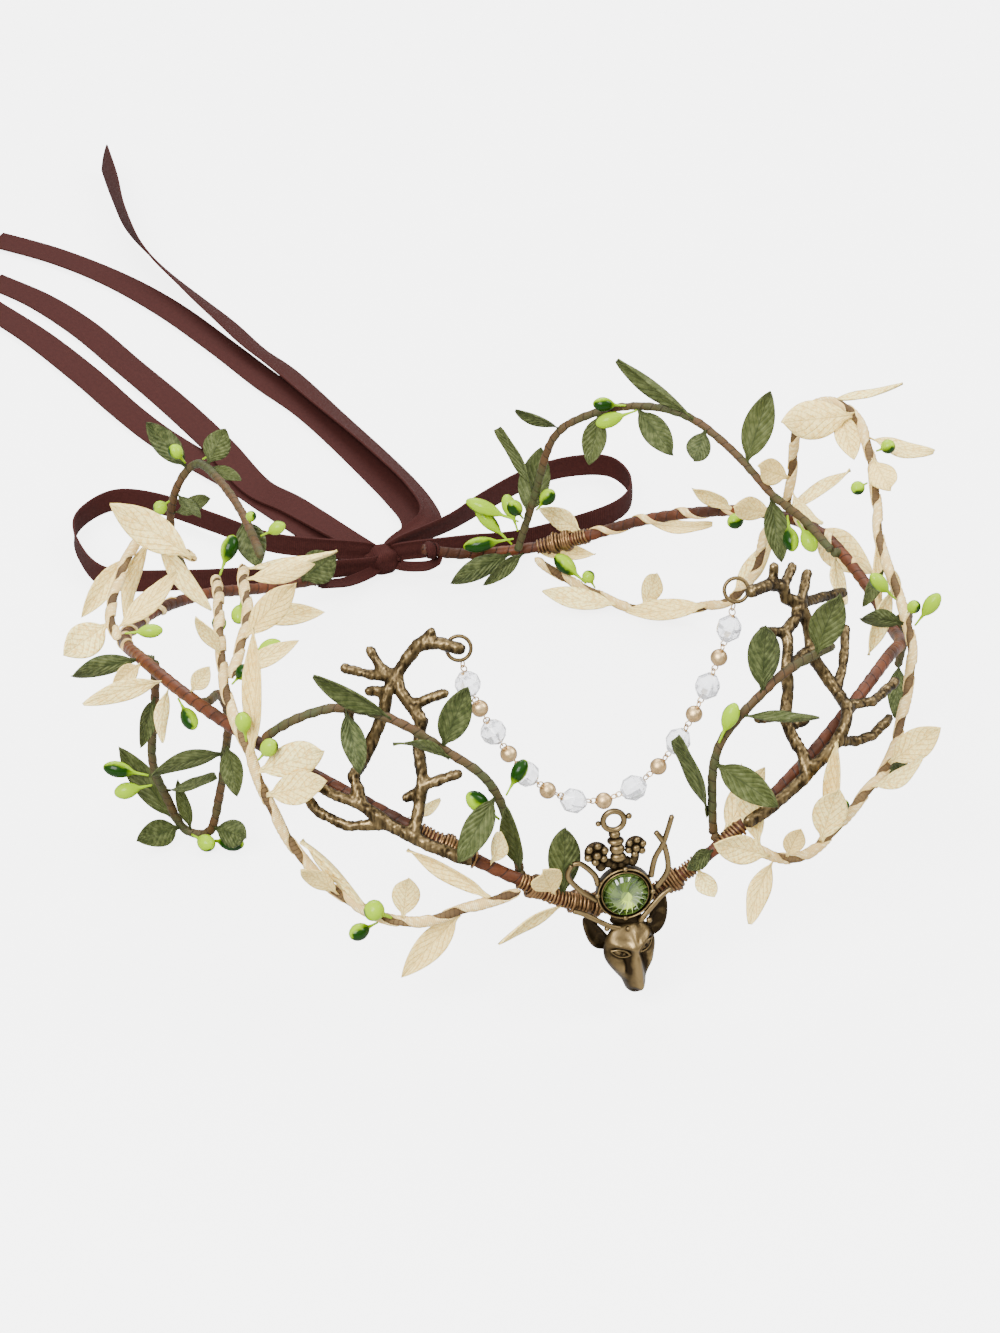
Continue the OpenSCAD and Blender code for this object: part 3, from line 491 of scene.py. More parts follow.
# Metal tone from grain, a slow random tone and a given value that carries wear together with painted
# light and shade.
cast, given, results = new_group("metal_wear_and_shade", {"Raised": 0.5, "Grain per m": 900.0},
                                 ["Worn", "Height", "Roughness"])
where = on_object(cast)
grain = clouds(where, given[1], 4.0)
rub = plus(times(grain, 0.5), times(given[0], 0.8))
wear_and_shade_tone = span(plus(rub, times(clouds(where, 160.0, 3.0), 0.3)), 0.5, 1.15)
put_out(results, wear_and_shade_tone, grain, span(wear_and_shade_tone, 0.0, 1.0, 0.52, 0.3))


def stored(tree, name):
    return add(tree, "Attribute", attribute_name=name).outputs["Fac"]


def metal(name, light, dark, wear_and_shade="", grain=900.0, depth=0.00003, rim=0.35):
    """Cast or drawn metal: dark in hollows, light where rubbed, with painted light and shade."""
    m, tree, shader = material(name, Metallic=0.9)
    wear_and_shade_tone, height, roughness = group_of(
        tree, cast, Raised=stored(tree, wear_and_shade) if wear_and_shade else 0.5, Grain_per_m=grain)
    # Painted shade: the colour darkens to half of the dark tone towards the outline of the piece.
    facing_shade = add(tree, "LayerWeight", [("Blend", 0.5)]).outputs["Facing"]
    paint(shader, blend(span(facing_shade, rim, 0.95, 0.0, 0.9), blend(wear_and_shade_tone, dark, light),
                        tuple(c * 0.5 for c in dark)))
    feed(shader.inputs["Roughness"], roughness)
    bump(shader, height, depth)
    return m


def hoop_stretch(first, last, step):
    """The hoop's curve between two lengths along it, in other steps."""
    return even(hoop_path[int(first / hoop_step):int(last / hoop_step) + 1], step)


def coil(first, last, step, pitch, least, swell, thick, phase):
    """Wire wound on a stretch of the hoop in uneven turns that swell to a lump."""
    path = hoop_stretch(first, last, step)
    u, v = sides_of(path)
    step = (path[1] - path[0]).length
    places = []
    for i, p in enumerate(path):
        onward = path[min(i + 1, len(path) - 1)] - p
        for j in range(2):
            angle = (i + j / 2) * step / pitch * 2 * math.pi
            r = hoop_radius + least + 0.1 * math.sin(angle * 0.37 + phase)
            r += swell * (0.5 - 0.5 * math.cos(i * step * 1.9 + phase))
            places.append(round_path(path, u, v, i, r, angle) / mm
                          + onward * 0.9 * math.sin(angle * 0.21 + phase))
    return roll(places, lambda s, angle: thick / 2, 6)


def joined(parts):
    bpy.ops.object.select_all(action="DESELECT")
    for part in parts:
        part.select_set(True)
    bpy.context.view_layer.objects.active = parts[0]
    if len(parts) > 1:
        bpy.ops.object.join()


copper_wire = metal("binding_wire", (0.36, 0.21, 0.09), (0.08, 0.036, 0.014), grain=1400.0,
                    depth=0.00005)
binding_spans = [(242, 246), (265, 268), (276, 283), (300, 304), (561, 568)]
joined([coil(*stretch, 0.1, 0.8, 0.5, 0.75, 0.85, k * 1.7)
        for k, stretch in enumerate(binding_spans)])
piece("hoop_binding_wire", ["hoop_wire"], copper_wire)

loose_spans = [(236, 251), (262, 272), (272, 286), (296, 309), (315, 322), (556, 571)]
joined([coil(*stretch, 0.12, 0.9, 0.25, 0.12, 0.62, k * 2.3)
        for k, stretch in enumerate(loose_spans)])
piece("hoop_wire_turns", [], copper_wire)

# Garland cords: a khaki cord with a band of cream brocade wound round it, so that
# diamonds of the cord show between its turns. The same band climbs parts of the hoop.
garland_step = 0.6
garland_turn = 1.1
garland_taper = 4
khaki_cord = wrapped_material(
    "garland_core", (0.15, 0.095, 0.04), (0.075, 0.044, 0.02), (0.025, 0.015, 0.008),
    garland_turn, Roughness=0.8, Specular_IOR_Level=0.15)

brocade, tree, shader = material("cream_brocade", Roughness=0.6, Specular_IOR_Level=0.2)
height, _ = group_of(tree, weave, Threads_per_mm=2.4, Ribs_per_mm=2.4)
figure = add(tree, "TexVoronoi", [("Vector", on_uv(tree)), ("Scale", 0.75)]).outputs[0]
cream = blend(span(figure, 0.25, 0.55), (0.97, 0.8, 0.4), (0.76, 0.52, 0.18))
paint(shader, blend(span(height, 0.0, 0.6), (0.5, 0.35, 0.16), cream))
bump(shader, height, 0.00009)

garlands = {
    "left": [[(343, 98, 33), (336, 101, 30), (329, 103, 26), (322, 103, 28), (315, 103, 36),
              (310, 103, 48), (306, 102, 61), (298, 94, 66), (283, 80, 65), (262, 72, 60),
              (244, 74, 51)]],
    "side": [[(243, 79, 55), (238, 93, 57), (243, 96, 55), (250, 97, 53), (259, 98, 54),
              (268, 98, 56)],
             [(248, 66, 58), (263, 66, 63), (282, 72, 68), (297, 91, 69)]],
    "right": [[(115, 98, 38), (114, 98, 53), (112, 95, 65), (108, 94, 75), (104, 97, 78),
               (99, 98, 76), (93, 96, 71), (86, 93, 66), (78, 91, 61), (70, 94, 55),
               (62, 98, 48), (54, 99, 41), (44, 101, 35), (34, 103, 35), (28, 103, 31),
               (22, 103, 29), (17, 101, 33), (13, 98, 38)]],
    "back": [[(158, 92, 9), (153, 91, 4), (147, 88, 2), (141, 84, 2), (134, 86, 2),
              (127, 89, 5), (121, 89, 11), (117, 91, 22), (116, 92, 35)]]}
for side, routes in garlands.items():
    cores, bands = [], []
    for k, route in enumerate(routes):
        path = even(crown_path(route), garland_step)
        run = len(path) * garland_step
        cores.append(roll(path, wrapped(run, 1.0, garland_turn, 0.06, garland_taper), 12))
        bands.append(wound(path, 1.22, 14, 0.58, 0.3, k + 1.0, garland_taper))
    joined(cores)
    piece(f"garland_{side}_core", [f"garland_cord_{side}"], khaki_cord)
    joined(bands)
    piece(f"garland_{side}_band", [], brocade)

joined([wound(hoop_stretch(first, last, garland_step), hoop_radius + 0.15, 13, 0.2, 0.3)
        for first, last in ((60, 129.5), (462, 559.5))])
piece("hoop_band", [], brocade)

# Cream leaves: cut from gold-threaded brocade, pressed with a midrib and side veins and
# glued to the band by their foot. One leaf is made in four curls and copied to each place.
leaf_thick = 0.022
leaf_arch = 0.256
stalk_half = 0.055
towards_front = Vector((-0.26, -0.81, 0.53))
shapes = []


def as_shape(name):
    """The active object becomes a shape to copy, which isn't rendered."""
    bpy.context.object.name = name
    bpy.context.object.hide_render = True
    shapes.append(bpy.context.object)
    return bpy.context.object


def leaf_shape(name, outline, cup, twist, wave):
    """A leaf one long and one wide, from its foot at 0 to its tip, that faces up."""
    for v in grid(10, 18).vertices:
        across, along = v.co.x * 2 - 1, v.co.y * 1.09 - 0.09
        half = 0.5 * max(math.sin(math.pi * max(along, 0) ** 0.86), 0.0) ** outline
        height = cup * across ** 2 * math.sin(math.pi * along) - leaf_arch * along * (1 - along)
        height += twist * across * (along - 0.3) + wave * abs(across) * math.sin(9 * along + across)
        height -= 0.012 * math.exp(-(across / 0.12) ** 2)
        v.co = (across * max(half, stalk_half * (1 - along) + 0.015), along, height)
    modify("SOLIDIFY", thickness=leaf_thick, offset=0)
    bpy.ops.object.shade_smooth()
    return as_shape(name)


def middle(points):
    return sum(points, Vector()) / len(points)


def loose_parts(node):
    """The places of the corners of each loose part of a CAD node, without doubles."""
    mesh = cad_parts[node].data
    keys = [tuple(round(c * 1e6) for c in v.co) for v in mesh.vertices]
    owner = {k: k for k in keys}

    def top(k):
        while owner[k] != k:
            k = owner[k]
        return k
    for face in mesh.polygons:
        a, *others = [top(keys[i]) for i in face.vertices]
        for b in others:
            owner[top(b)] = top(a)
            a = top(a)
    parts = {}
    for k in set(keys):
        parts.setdefault(top(k), []).append(Vector(k) * 1e-6)
    return sorted(parts.values(), key=lambda part: tuple(round(c, 6) for c in middle(part)))


def longest(points):
    return max(((a, b) for a in points for b in points), key=lambda ab: (ab[0] - ab[1]).length)


def rings_of(part, count):
    """The corners of a leaf or bud as rings from one of its ends to the other."""
    a, b = longest(part)
    row = sorted(part, key=lambda p: p.dot((b - a).normalized()))
    size = len(row) // count
    return [row[k * size:(k + 1) * size] for k in range(count)]


def copy_of(shape, name, *axes):
    """A copy of a shape. Its axes become the first three, and its origin moves to the last."""
    mesh = shape.data.copy()
    mesh.transform(Matrix([(*axis, float(k == 3)) for k, axis in enumerate(axes)]).transposed())
    return new_object(name, mesh)


def leaf_copies(node, masters, name, finish):
    """Copies of the master leaves at each leaf of a CAD node, as one piece."""
    copies = []
    for k, part in enumerate(loose_parts(node)):
        rings = rings_of(part, 5)
        widest = middle(rings[2])
        if (middle(rings[0]) - widest).length > (middle(rings[4]) - widest).length:
            rings.reverse()
        foot, tip = middle(rings[0]), middle(rings[4])
        a, b = longest(rings[2])
        across = square_to(b - a, (tip - foot).normalized())
        face = across.cross((tip - foot).normalized())
        if face.dot(towards_front) < 0:
            across, face = -across, -face
        leaf = copy_of(masters[(k * 7 + len(node)) % len(masters)], f"{name}_{k}",
                       across * (b - a).length, tip - foot, face * (tip - foot).length, foot)
        tint = leaf.data.attributes.new("tint", "FLOAT", "POINT")
        tint.data.foreach_set("value", [k * 0.382 % 1] * len(leaf.data.vertices))
        copies.append(leaf)
    joined(copies)
    piece(name, [node], finish)


def from_middle(value):
    return maths("ABSOLUTE", maths("SUBTRACT", value, 0.5))


def scaled_uv(tree, across, along):
    return add(tree, "Mapping", [("Vector", on_uv(tree)),
                                 ("Scale", (across, along, 1.0))]).outputs[0]


# Veins: a midrib and side veins that run from it towards the tip, on the leaf's own UV
# map, which goes from 0 to 1 across and along the leaf, with the puffs between them.
veins, given, results = new_group("veins", {"Side veins": 9.0}, ["Veins", "Puff"])
uv = on_uv(veins)
across, along, _ = xyz(uv)
off = from_middle(across)
run = plus(maths("SUBTRACT", along, times(off, 0.75)), times(clouds(uv, 5.0), 0.06))
to_vein = from_middle(maths("FRACT", times(run, given[0])))
lines = maths("MAXIMUM", span(to_vein, 0.0, 0.13, 1.0, 0.0), span(off, 0.0, 0.035, 1.0, 0.0))
put_out(results, lines, times(to_vein, 2.0))

cream_leaf, tree, shader = material("cream_leaf", Roughness=0.52, Specular_IOR_Level=0.25)
lines, _ = group_of(tree, veins, Side_veins=7.0)
place = scaled_uv(tree, 8.0, 18.0)
figure = add(tree, "TexVoronoi", [("Vector", place), ("Scale", 1.5)], feature="SMOOTH_F1").outputs[0]
specks = clouds(place, 4.0, 5.0, 0.7)
ground = blend(stored(tree, "tint"), (1.0, 0.84, 0.32), (0.94, 0.68, 0.2))
pattern = blend(span(figure, 0.35, 0.6), ground, (0.8, 0.52, 0.12))
flecked = blend(span(specks, 0.5, 0.66), pattern, (1.0, 0.95, 0.55))
paint(shader, blend(times(lines, 0.36), flecked, (0.36, 0.2, 0.05)))
feed(shader.inputs["Roughness"], span(specks, 0.4, 0.7, 0.62, 0.36))
bump(shader, plus(times(specks, 0.6), times(lines, -0.6)), 0.0002)

cream_masters = [leaf_shape(f"cream_leaf_shape_{k}", 0.8, *curl) for k, curl in enumerate(
    [(0.05, 0.02, 0.01), (-0.06, -0.03, 0.012), (0.08, 0.04, -0.01), (0.0, -0.05, 0.014)])]
for side in ("left", "front", "right", "back"):
    leaf_copies(f"gold_leaves_{side}", cream_masters, f"cream_leaves_{side}",
                cream_leaf)

# Vines: wire stems taped in green and brown florist's tape, bent up from the hoop in
# loose arches, with a twist of the same tape where one meets the hoop.
vine_step = 0.5
vine_turn = 2.8
vine_routes = {
    "back": [(161, 92, 11), (158, 91, 29), (155, 90, 47), (149, 90, 55), (140, 90, 60),
             (131, 90, 60), (122, 90, 54), (114, 91, 46), (106, 91, 44), (99, 92, 40)],
    "front_left": [(343, 92, 34), (341, 90, 48), (338, 91, 59), (332, 91, 66), (325, 91, 72),
                   (317, 92, 73), (311, 96, 69), (307, 99, 63)],
    "front_right": [(12, 92, 36), (12, 91, 53), (14, 91, 62), (19, 91, 68), (25, 92, 73),
                    (34, 94, 74)],
    "left_top": [(220, 97.5, 23), (219, 105, 36), (219, 103, 50), (218, 97, 59), (225, 82, 63),
                 (235, 70, 64), (247, 63, 64), (256, 61, 66)],
    "left_low": [(275, 92, 56), (274, 92, 43), (273, 93, 26), (271, 89, 12), (271, 85, 2),
                 (274, 80, 3), (276, 78, 14), (278, 77, 28), (282, 78, 42), (286, 83, 53),
                 (292, 92, 59)],
    "right": [(78, 98, 38), (82, 101, 36), (85, 102, 26), (87, 102, 15)]}
stem_tape = wrapped_material("vine_tape", (0.04, 0.047, 0.016), (0.07, 0.035, 0.013),
                             (0.011, 0.011, 0.005), vine_turn, Roughness=0.62,
                             Specular_IOR_Level=0.2)
for name, route in vine_routes.items():
    path = even(crown_path(route), vine_step)
    run = len(path) * vine_step

    def stem_radius(s, angle):
        lump = noise.noise(Vector((s * run * 0.35, math.cos(angle), math.sin(angle))))
        return wrapped(run, 1.08, vine_turn, 0.1)(s, angle) * (1 + 0.14 * lump)
    roll(path, stem_radius, 12)
    piece(f"vine_{name}_stem", [f"vine_{name}"], stem_tape)

ties = []
for name, end in (("front_right", 0), ("front_left", 0), ("back", -1), ("right", 0),
                  ("left_top", 0), ("left_low", 0), ("left_low", -1)):
    foot = crown_path(vine_routes[name])[end]
    hold = min(hoop_path, key=lambda p: (p - foot).length)
    if 1.5 < (hold - foot).length < 12:
        ties.append(roll(even([foot, foot.lerp(hold, 0.5), hold], 0.3),
                         lambda s, angle: 1.15 + 0.12 * math.sin(s * 25 + angle), 12))
joined(ties)
piece("vine_ties", [], stem_tape)

# Green leaves: sage cloth, heat-pressed over a mould so that the midrib and the side
# veins stand out, with a soft sheen and lighter backs.
green_leaf, tree, shader = material("green_leaf", Roughness=0.6, Specular_IOR_Level=0.2)
lines, puff = group_of(tree, veins, Side_veins=8.0)
place = scaled_uv(tree, 9.0, 18.0)
ground = blend(stored(tree, "tint"), (0.034, 0.046, 0.01), (0.056, 0.069, 0.015))
spotted = blend(span(clouds(place, 0.5, 4.0), 0.42, 0.66), ground, (0.1, 0.118, 0.038))
paint(shader, blend(times(lines, 0.65), spotted, (0.013, 0.02, 0.004)))
bump(shader, plus(times(clouds(place, 6.0), 0.35), times(puff, 0.8)), 0.0003)

green_masters = [leaf_shape(f"green_leaf_shape_{k}", 0.72, *curl) for k, curl in enumerate(
    [(0.09, 0.02, 0.012), (-0.05, 0.05, 0.01), (0.12, -0.04, 0.0), (0.05, -0.08, 0.012)])]
for spray in vine_routes:
    node = f"green_leaves_{spray}"
    leaf_copies(node, green_masters, node + "_cloth", green_leaf)

# Buds: glossy plastic teardrops on wire stalks, lime with a painted dark green reflection
# down one side, twisted on to the stems in pairs.
bud_gloss, tree, shader = material("bud_gloss", Roughness=0.4, Specular_IOR_Level=0.05,
                                   Coat_Weight=0.2, Coat_Roughness=0.03)
round_it, along, _ = xyz(on_uv(tree))
speckle = times(clouds(on_object(tree), 500.0), 0.12)
# Painted reflection: dark green down one side of each bud, kept off its foot and tip.
painted_dark_reflection = span(plus(speckle, from_middle(round_it)), 0.24, 0.34, 1.0, 0.0)
belly = times(span(along, 0.2, 0.4), span(along, 0.84, 0.97, 1.0, 0.0))
paint(shader, blend(times(painted_dark_reflection, belly), (0.25, 0.42, 0.0), (0.004, 0.028, 0.0)))


def lathe(profile, around, unit):
    """A turned shape about the Z axis through rows of radius and height."""
    last = len(profile) - 1
    for v in grid(around, last).vertices:
        r, z = profile[round(v.co.y * last)]
        angle = v.co.x * 2 * math.pi
        v.co = Vector((r * math.cos(angle), r * math.sin(angle), z)) * unit
    weld(0.005 * unit)


lathe([(0, 0), (0.065, 0.02), (0.075, 0.2), (0.12, 0.34), (0.33, 0.45), (0.44, 0.55),
       (0.5, 0.67), (0.475, 0.78), (0.38, 0.88), (0.25, 0.95), (0.14, 0.985), (0, 1)], 16, 1)
bud_shape = as_shape("bud_shape")
for side in ("left", "front", "back", "right"):
    copies = []
    for k, part in enumerate(loose_parts(f"buds_{side}")):
        rings = rings_of(part, 6)
        spread = [max((a - middle(r)).length for a in r) for r in rings]
        if spread.index(max(spread)) < 3:
            rings.reverse()
        foot, tip, wide = middle(rings[0]), middle(rings[5]), 2.25 * max(spread)
        along = (tip - foot).normalized()
        across = square_to(Vector((math.sin(k * 2.4), math.cos(k * 2.4), 0.3)), along)
        copies.append(copy_of(bud_shape, f"bud_{side}_{k}", across * wide,
                              along.cross(across) * wide, tip - foot, foot))
    joined(copies)
    piece(f"buds_{side}_gloss", [f"buds_{side}"], bud_gloss)

# Antlers: zinc castings in antique brass, with a bark of long ridges that is dark in its
# grooves and rubbed to pale gold on the ridges, with painted light on the sides that face up
# and painted shade on the sides turned away. Their feet are wired to the hoop.
antique_brass = metal("antique_brass", bronze_light, bronze_dark, "wear_and_shade", 500.0, 0.00012)
bark_scale = 620
bark_deep = 0.234
# The painted light on the antlers comes from this way: sides that face it are painted lighter.
painted_light_from = Vector((-0.35, -0.45, 0.82))


def keep_wear_and_shade(mesh, values):
    """Stores on each corner the metal's tone from 0 to 1: wear with painted light and shade."""
    mesh.attributes.new("wear_and_shade", "FLOAT", "POINT").data.foreach_set(
        "value", [min(max(value, 0), 1) for value in values])


for side in ("left", "right"):
    joined([new_object("antler_shape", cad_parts[f"antler_{side}"].data.copy())])
    weld()
    modify("REMESH", mode="VOXEL", voxel_size=0.42 * mm)
    modify("SMOOTH", factor=0.7, iterations=4)
    mesh = bpy.context.object.data
    values, places = [], []
    # Each corner's tone: pale on the bark's ridges, with painted light on the sides that face up
    # towards the front and painted shade on the sides turned away.
    for v in mesh.vertices:
        x, y, z = v.co * bark_scale
        fine = noise.noise(Vector((x * 3.2, y * 3.2, z * 0.7)))
        slow = noise.noise(Vector((x * 0.8, y * 0.8, z * 0.35)))
        values.append(0.22 + 0.28 * v.normal.dot(painted_light_from) + 0.6 * fine + 0.3 * slow)
        places.append(v.co + v.normal * (fine + slow) * bark_deep * mm)
    for v, place in zip(mesh.vertices, places):
        v.co = place
    keep_wear_and_shade(mesh, values)
    bpy.ops.object.shade_smooth()
    piece(f"antler_{side}_casting", [f"antler_{side}"], antique_brass)

# Bead chain: faceted glass crystals and gilt beads, each on its own eye pin, linked eye
# to eye and hung between the antlers' tips on two jump rings.
# The gilt beads get painted shade from near their middle out to their outline.
gilt = metal("gold_metal", (1.0, 0.76, 0.4), (0.3, 0.15, 0.05), grain=420.0, rim=0.1)
ring_brass = metal("ring_brass", bronze_light, bronze_dark, grain=1200.0)
rings = ["jump_ring_left", "jump_ring_right"]
for name in rings:
    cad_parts[name].data.materials.clear()
    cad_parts[name].data.materials.append(ring_brass)

crystal_glass, tree, shader = material("crystal", Roughness=0.03, IOR=1.5,
                                       Transmission_Weight=0.6, Specular_IOR_Level=0.8)
haze = clouds(on_object(tree), 260.0)
paint(shader, blend(haze, (0.8, 0.81, 0.85), (0.95, 0.95, 0.97)))
feed(shader.inputs["Roughness"], span(haze, 0.3, 0.7, 0.02, 0.07))

crystal_girdle = 1.15
crystal_end = 0.42
bpy.ops.mesh.primitive_cylinder_add(vertices=8, radius=2.9 * mm, depth=6.1 * mm,
                                    end_fill_type="NGON")
bpy.ops.object.mode_set(mode="EDIT")
for z in (crystal_girdle, -crystal_girdle):
    bpy.ops.mesh.select_all(action="SELECT")
    bpy.ops.mesh.bisect(plane_co=(0, 0, z * mm), plane_no=(0, 0, 1))
bpy.ops.object.mode_set(mode="OBJECT")
for v in bpy.context.object.data.vertices:
    if abs(v.co.z) > 2 * mm:
        v.co.x, v.co.y = (Matrix.Rotation(math.pi / 8, 2) @ Vector(v.co[:2])) * crystal_end
modify("TRIANGULATE")
crystal_shape = as_shape("crystal_shape")

bpy.ops.mesh.primitive_uv_sphere_add(segments=32, ring_count=16, radius=2 * mm)
for v in bpy.context.object.data.vertices:
    if abs(v.co.z) > 1.8 * mm:
        v.co.z = math.copysign(1.86 * mm, v.co.z)
bpy.ops.object.shade_smooth()
bead_shape = as_shape("bead_shape")


def turn_to(way, place):
    return Matrix.Translation(place) @ way.to_track_quat("Z", "Y").to_matrix().to_4x4()


beads = ["crystal_1"]
for k in range(1, 8):
    beads += [f"gold_bead_{k}", f"crystal_{k + 1}"]
places = [(low + high) / 2 for low, high in map(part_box, [rings[0]] + beads + [rings[1]])]
ways = headings(places[1:-1])
for name, place, way in zip(beads, places[1:-1], ways):
    cut = name.startswith("crystal")
    mesh = (crystal_shape if cut else bead_shape).data.copy()
    mesh.transform(turn_to(way, place))
    joined([new_object(name, mesh)])
    if cut:
        piece(name + "_cut", [name], crystal_glass)
    else:
        piece(name + "_round", [name], gilt)

wire_thick = 0.34
links = []
clear = [(3.2, 3.15)] + [(3.05, 1.9), (1.9, 3.05)] * 7 + [(3.15, 3.2)]
for a, b, (before, after) in zip(places, places[1:], clear):
    way = (b - a).normalized()
    first, last = a + way * before * mm, b - way * after * mm
    for share, turn in ((0.3, 0.0), (0.7, math.pi / 2)):
        bpy.ops.mesh.primitive_torus_add(
            major_segments=16, minor_segments=6, major_radius=(last - first).length * 0.27,
            minor_radius=wire_thick / 2 * mm, rotation=(math.pi / 2, 0, 0))
        bpy.ops.object.transform_apply(rotation=True)
        bpy.context.object.data.transform(
            turn_to(way, first.lerp(last, share)) @ Matrix.Rotation(turn, 4, "Z"))
        links.append(bpy.context.object)
for name, place, way in zip(beads, places[1:-1], ways):
    half = 3.1 if name.startswith("crystal") else 1.95
    for end in (-half, half):
        bpy.ops.mesh.primitive_cylinder_add(vertices=8, radius=0.45 * mm, depth=0.3 * mm)
        bpy.context.object.data.transform(turn_to(way, place + way * end * mm))
        links.append(bpy.context.object)
joined(links)
bpy.ops.object.shade_smooth_by_angle(angle=math.radians(50))
piece("chain_links", ["chain_eyes"], gilt)

# Deer head charm: one antique brass casting with a ring to hang by, two rosettes, a
# beaded setting and wire antlers round it, and the head below.
charm_parts = []


def placed(x, y, z, **turns):
    """A place in mm, turned about the axes in the order given, by degrees."""
    place = Matrix.Translation(Vector((x, y, z)) * mm)
    for axis, turn in turns.items():
        place = place @ Matrix.Rotation(math.radians(turn), 4, axis)
    return place


def hill(x, y, wide, high=1.0):
    return math.exp(-(x / wide) ** 2 - (y / high) ** 2)


def ramp(value, run):
    return min(max(value / run, 0), 1)


def facing_shade(v):
    """Painted highlight where the casting faces the front, and painted shade on its sides."""
    return 0.05 + 0.95 * max(v.normal.z, 0) ** 1.6 + 0.2 * noise.noise(v.co * 900)


def charm_add(shade=facing_shade):
    bpy.ops.object.shade_smooth()
    mesh = bpy.context.object.data
    keep_wear_and_shade(mesh, [shade(v) if callable(shade) else shade for v in mesh.vertices])
    charm_parts.append(bpy.context.object)


def charm_ball(x, y, z, d, squash=(1, 1, 1), turn=0.0, lean=0.0, shade=facing_shade):
    """A rounded lump of the casting, d across, squashed along its axes and turned."""
    bpy.ops.mesh.primitive_uv_sphere_add(segments=20, ring_count=10, radius=d / 2 * mm)
    bpy.context.object.data.transform(placed(x, y, z, Z=turn, Y=lean)
                                      @ Matrix.Diagonal((*squash, 1)))
    charm_add(shade)


def charm_wire(points, thick, around=8, shade=facing_shade):
    roll(through(points, 8), lambda s, angle: thick / 2 * (1 - 0.15 * s), around)
    charm_add(shade)


# Half width and depth of the head down its own height, from its crown to its chin. The
# relief on it is in mm: a high bridge, slanting brows and sockets, and hollow cheeks.
head_rows = [(6, 0, 0), (5.7, 3.2, 1.5), (4, 5.2, 2.6), (1.5, 6.3, 3.3), (-1, 6.4, 3.6),
             (-3.5, 5.5, 3.8), (-6, 4.1, 3.9), (-8, 2.9, 3.8), (-9.8, 2.3, 3.6),
             (-11, 1.9, 3.0), (-11.7, 1.2, 1.8), (-11.9, 0, 0)]
eye_out = 3.3
slant_cos, slant_sin = math.cos(math.radians(24)), math.sin(math.radians(24))


def eye_frame(x, y):
    """Place relative to the eye on that side: along it towards the temple, and above it."""
    u = abs(x) - eye_out
    return u * slant_cos + y * slant_sin, y * slant_cos - u * slant_sin


def bridge_at(x, y):
    return hill(x, 0, 1.15) * ramp(5 - y, 3) * ramp(y + 11, 2)


def hollow_at(x, y):
    return hill(abs(x) - 2.2, 0, 0.75) * ramp(1 - y, 3) * ramp(y + 8.5, 4)


def relief_at(x, y):
    u, w = eye_frame(x, y)
    out = 1.3 * bridge_at(x, y) - 0.8 * hollow_at(x, y)
    out += 1.1 * hill(u, w - 1.9, 2.4, 0.6) - 1.4 * hill(u, w, 2.4, 1.1)
    out += 0.6 * hill(abs(x) - 3.8, y + 3.6, 1.3, 1.9) + 0.4 * hill(x, y + 9.9, 2.0, 1.0)
    return out - 0.6 * hill(abs(x) - 1.2, y + 10, 0.5, 0.45) - 0.5 * hill(x, y + 11.1, 1.8, 0.25)


# Painted light and shade on the head: highlights on the bridge, the forehead, the cheeks and where
# it faces the front, and painted shade in the sockets, beside the nose, in the nostrils and under
# the chin.
def head_shade(v):
    x, y = v.co.x / mm, v.co.y / mm
    u, w = eye_frame(x, y)
    light = 0.26 + 0.4 * max(v.normal.z, 0) ** 2 + 0.75 * bridge_at(x, y) - 0.75 * hollow_at(x, y)
    light += 0.5 * hill(x, y - 3.0, 3.8, 1.8) + 0.3 * hill(abs(x) - 3.8, y + 3.6, 1.4, 1.6)
    light -= 0.9 * hill(u, w, 2.6, 1.3) + 0.8 * hill(abs(x) - 1.2, y + 10, 0.6, 0.55)
    return light - 0.5 * hill(x, y + 11.1, 1.8, 0.35)


rows = through(head_rows, 6)
for v in grid(80, len(rows) - 1).vertices:
    y, half, deep = rows[round(v.co.y * (len(rows) - 1))]
    angle = v.co.x * 2 * math.pi
    x, front = max(half, 0) * math.cos(angle), math.sin(angle)
    blunt = min(1, half / 2)
    lift = relief_at(x, y) * min(1, 2.5 * max(front, 0)) * blunt
    v.co = Vector((x, y, deep * max(front, 0) ** 0.8 + lift - 1.4 * blunt * max(-front, 0))) * mm
weld()
charm_add(head_shade)
# Eyes: eyeballs with a painted highlight on their fronts and painted shade on their sides, dark
# pupils, and pale lids above and below.
for s in (-1, 1):
    charm_ball(eye_out * s, 0, 2.0, 2.8, (1.15, 0.55, 0.6), 24 * s, 16 * s,
               lambda v: 0.25 + 0.35 * v.normal.z)
    charm_ball(3.2 * s, 0, 2.75, 0.95, (1, 1, 0.5), shade=0)
    for rise, thick in ((0.95, 0.6), (-0.8, 0.35)):
        lid = []
        for q in (-1, -0.6, -0.2, 0.2, 0.6, 1):
            u, w = 2.3 * q, rise * (1 - q * q)
            x = eye_out + u * slant_cos - w * slant_sin
            lid.append((x * s, u * slant_sin + w * slant_cos,
                        3.3 * max(1 - (x / 6.0) ** 2, 0.02) ** 0.4 - 0.05))
        charm_wire(lid, thick, shade=0.75)
joined(charm_parts)
bpy.context.object.data.transform(placed(0.9, -14, 0, Z=6, Y=18))
charm_parts = [bpy.context.object]

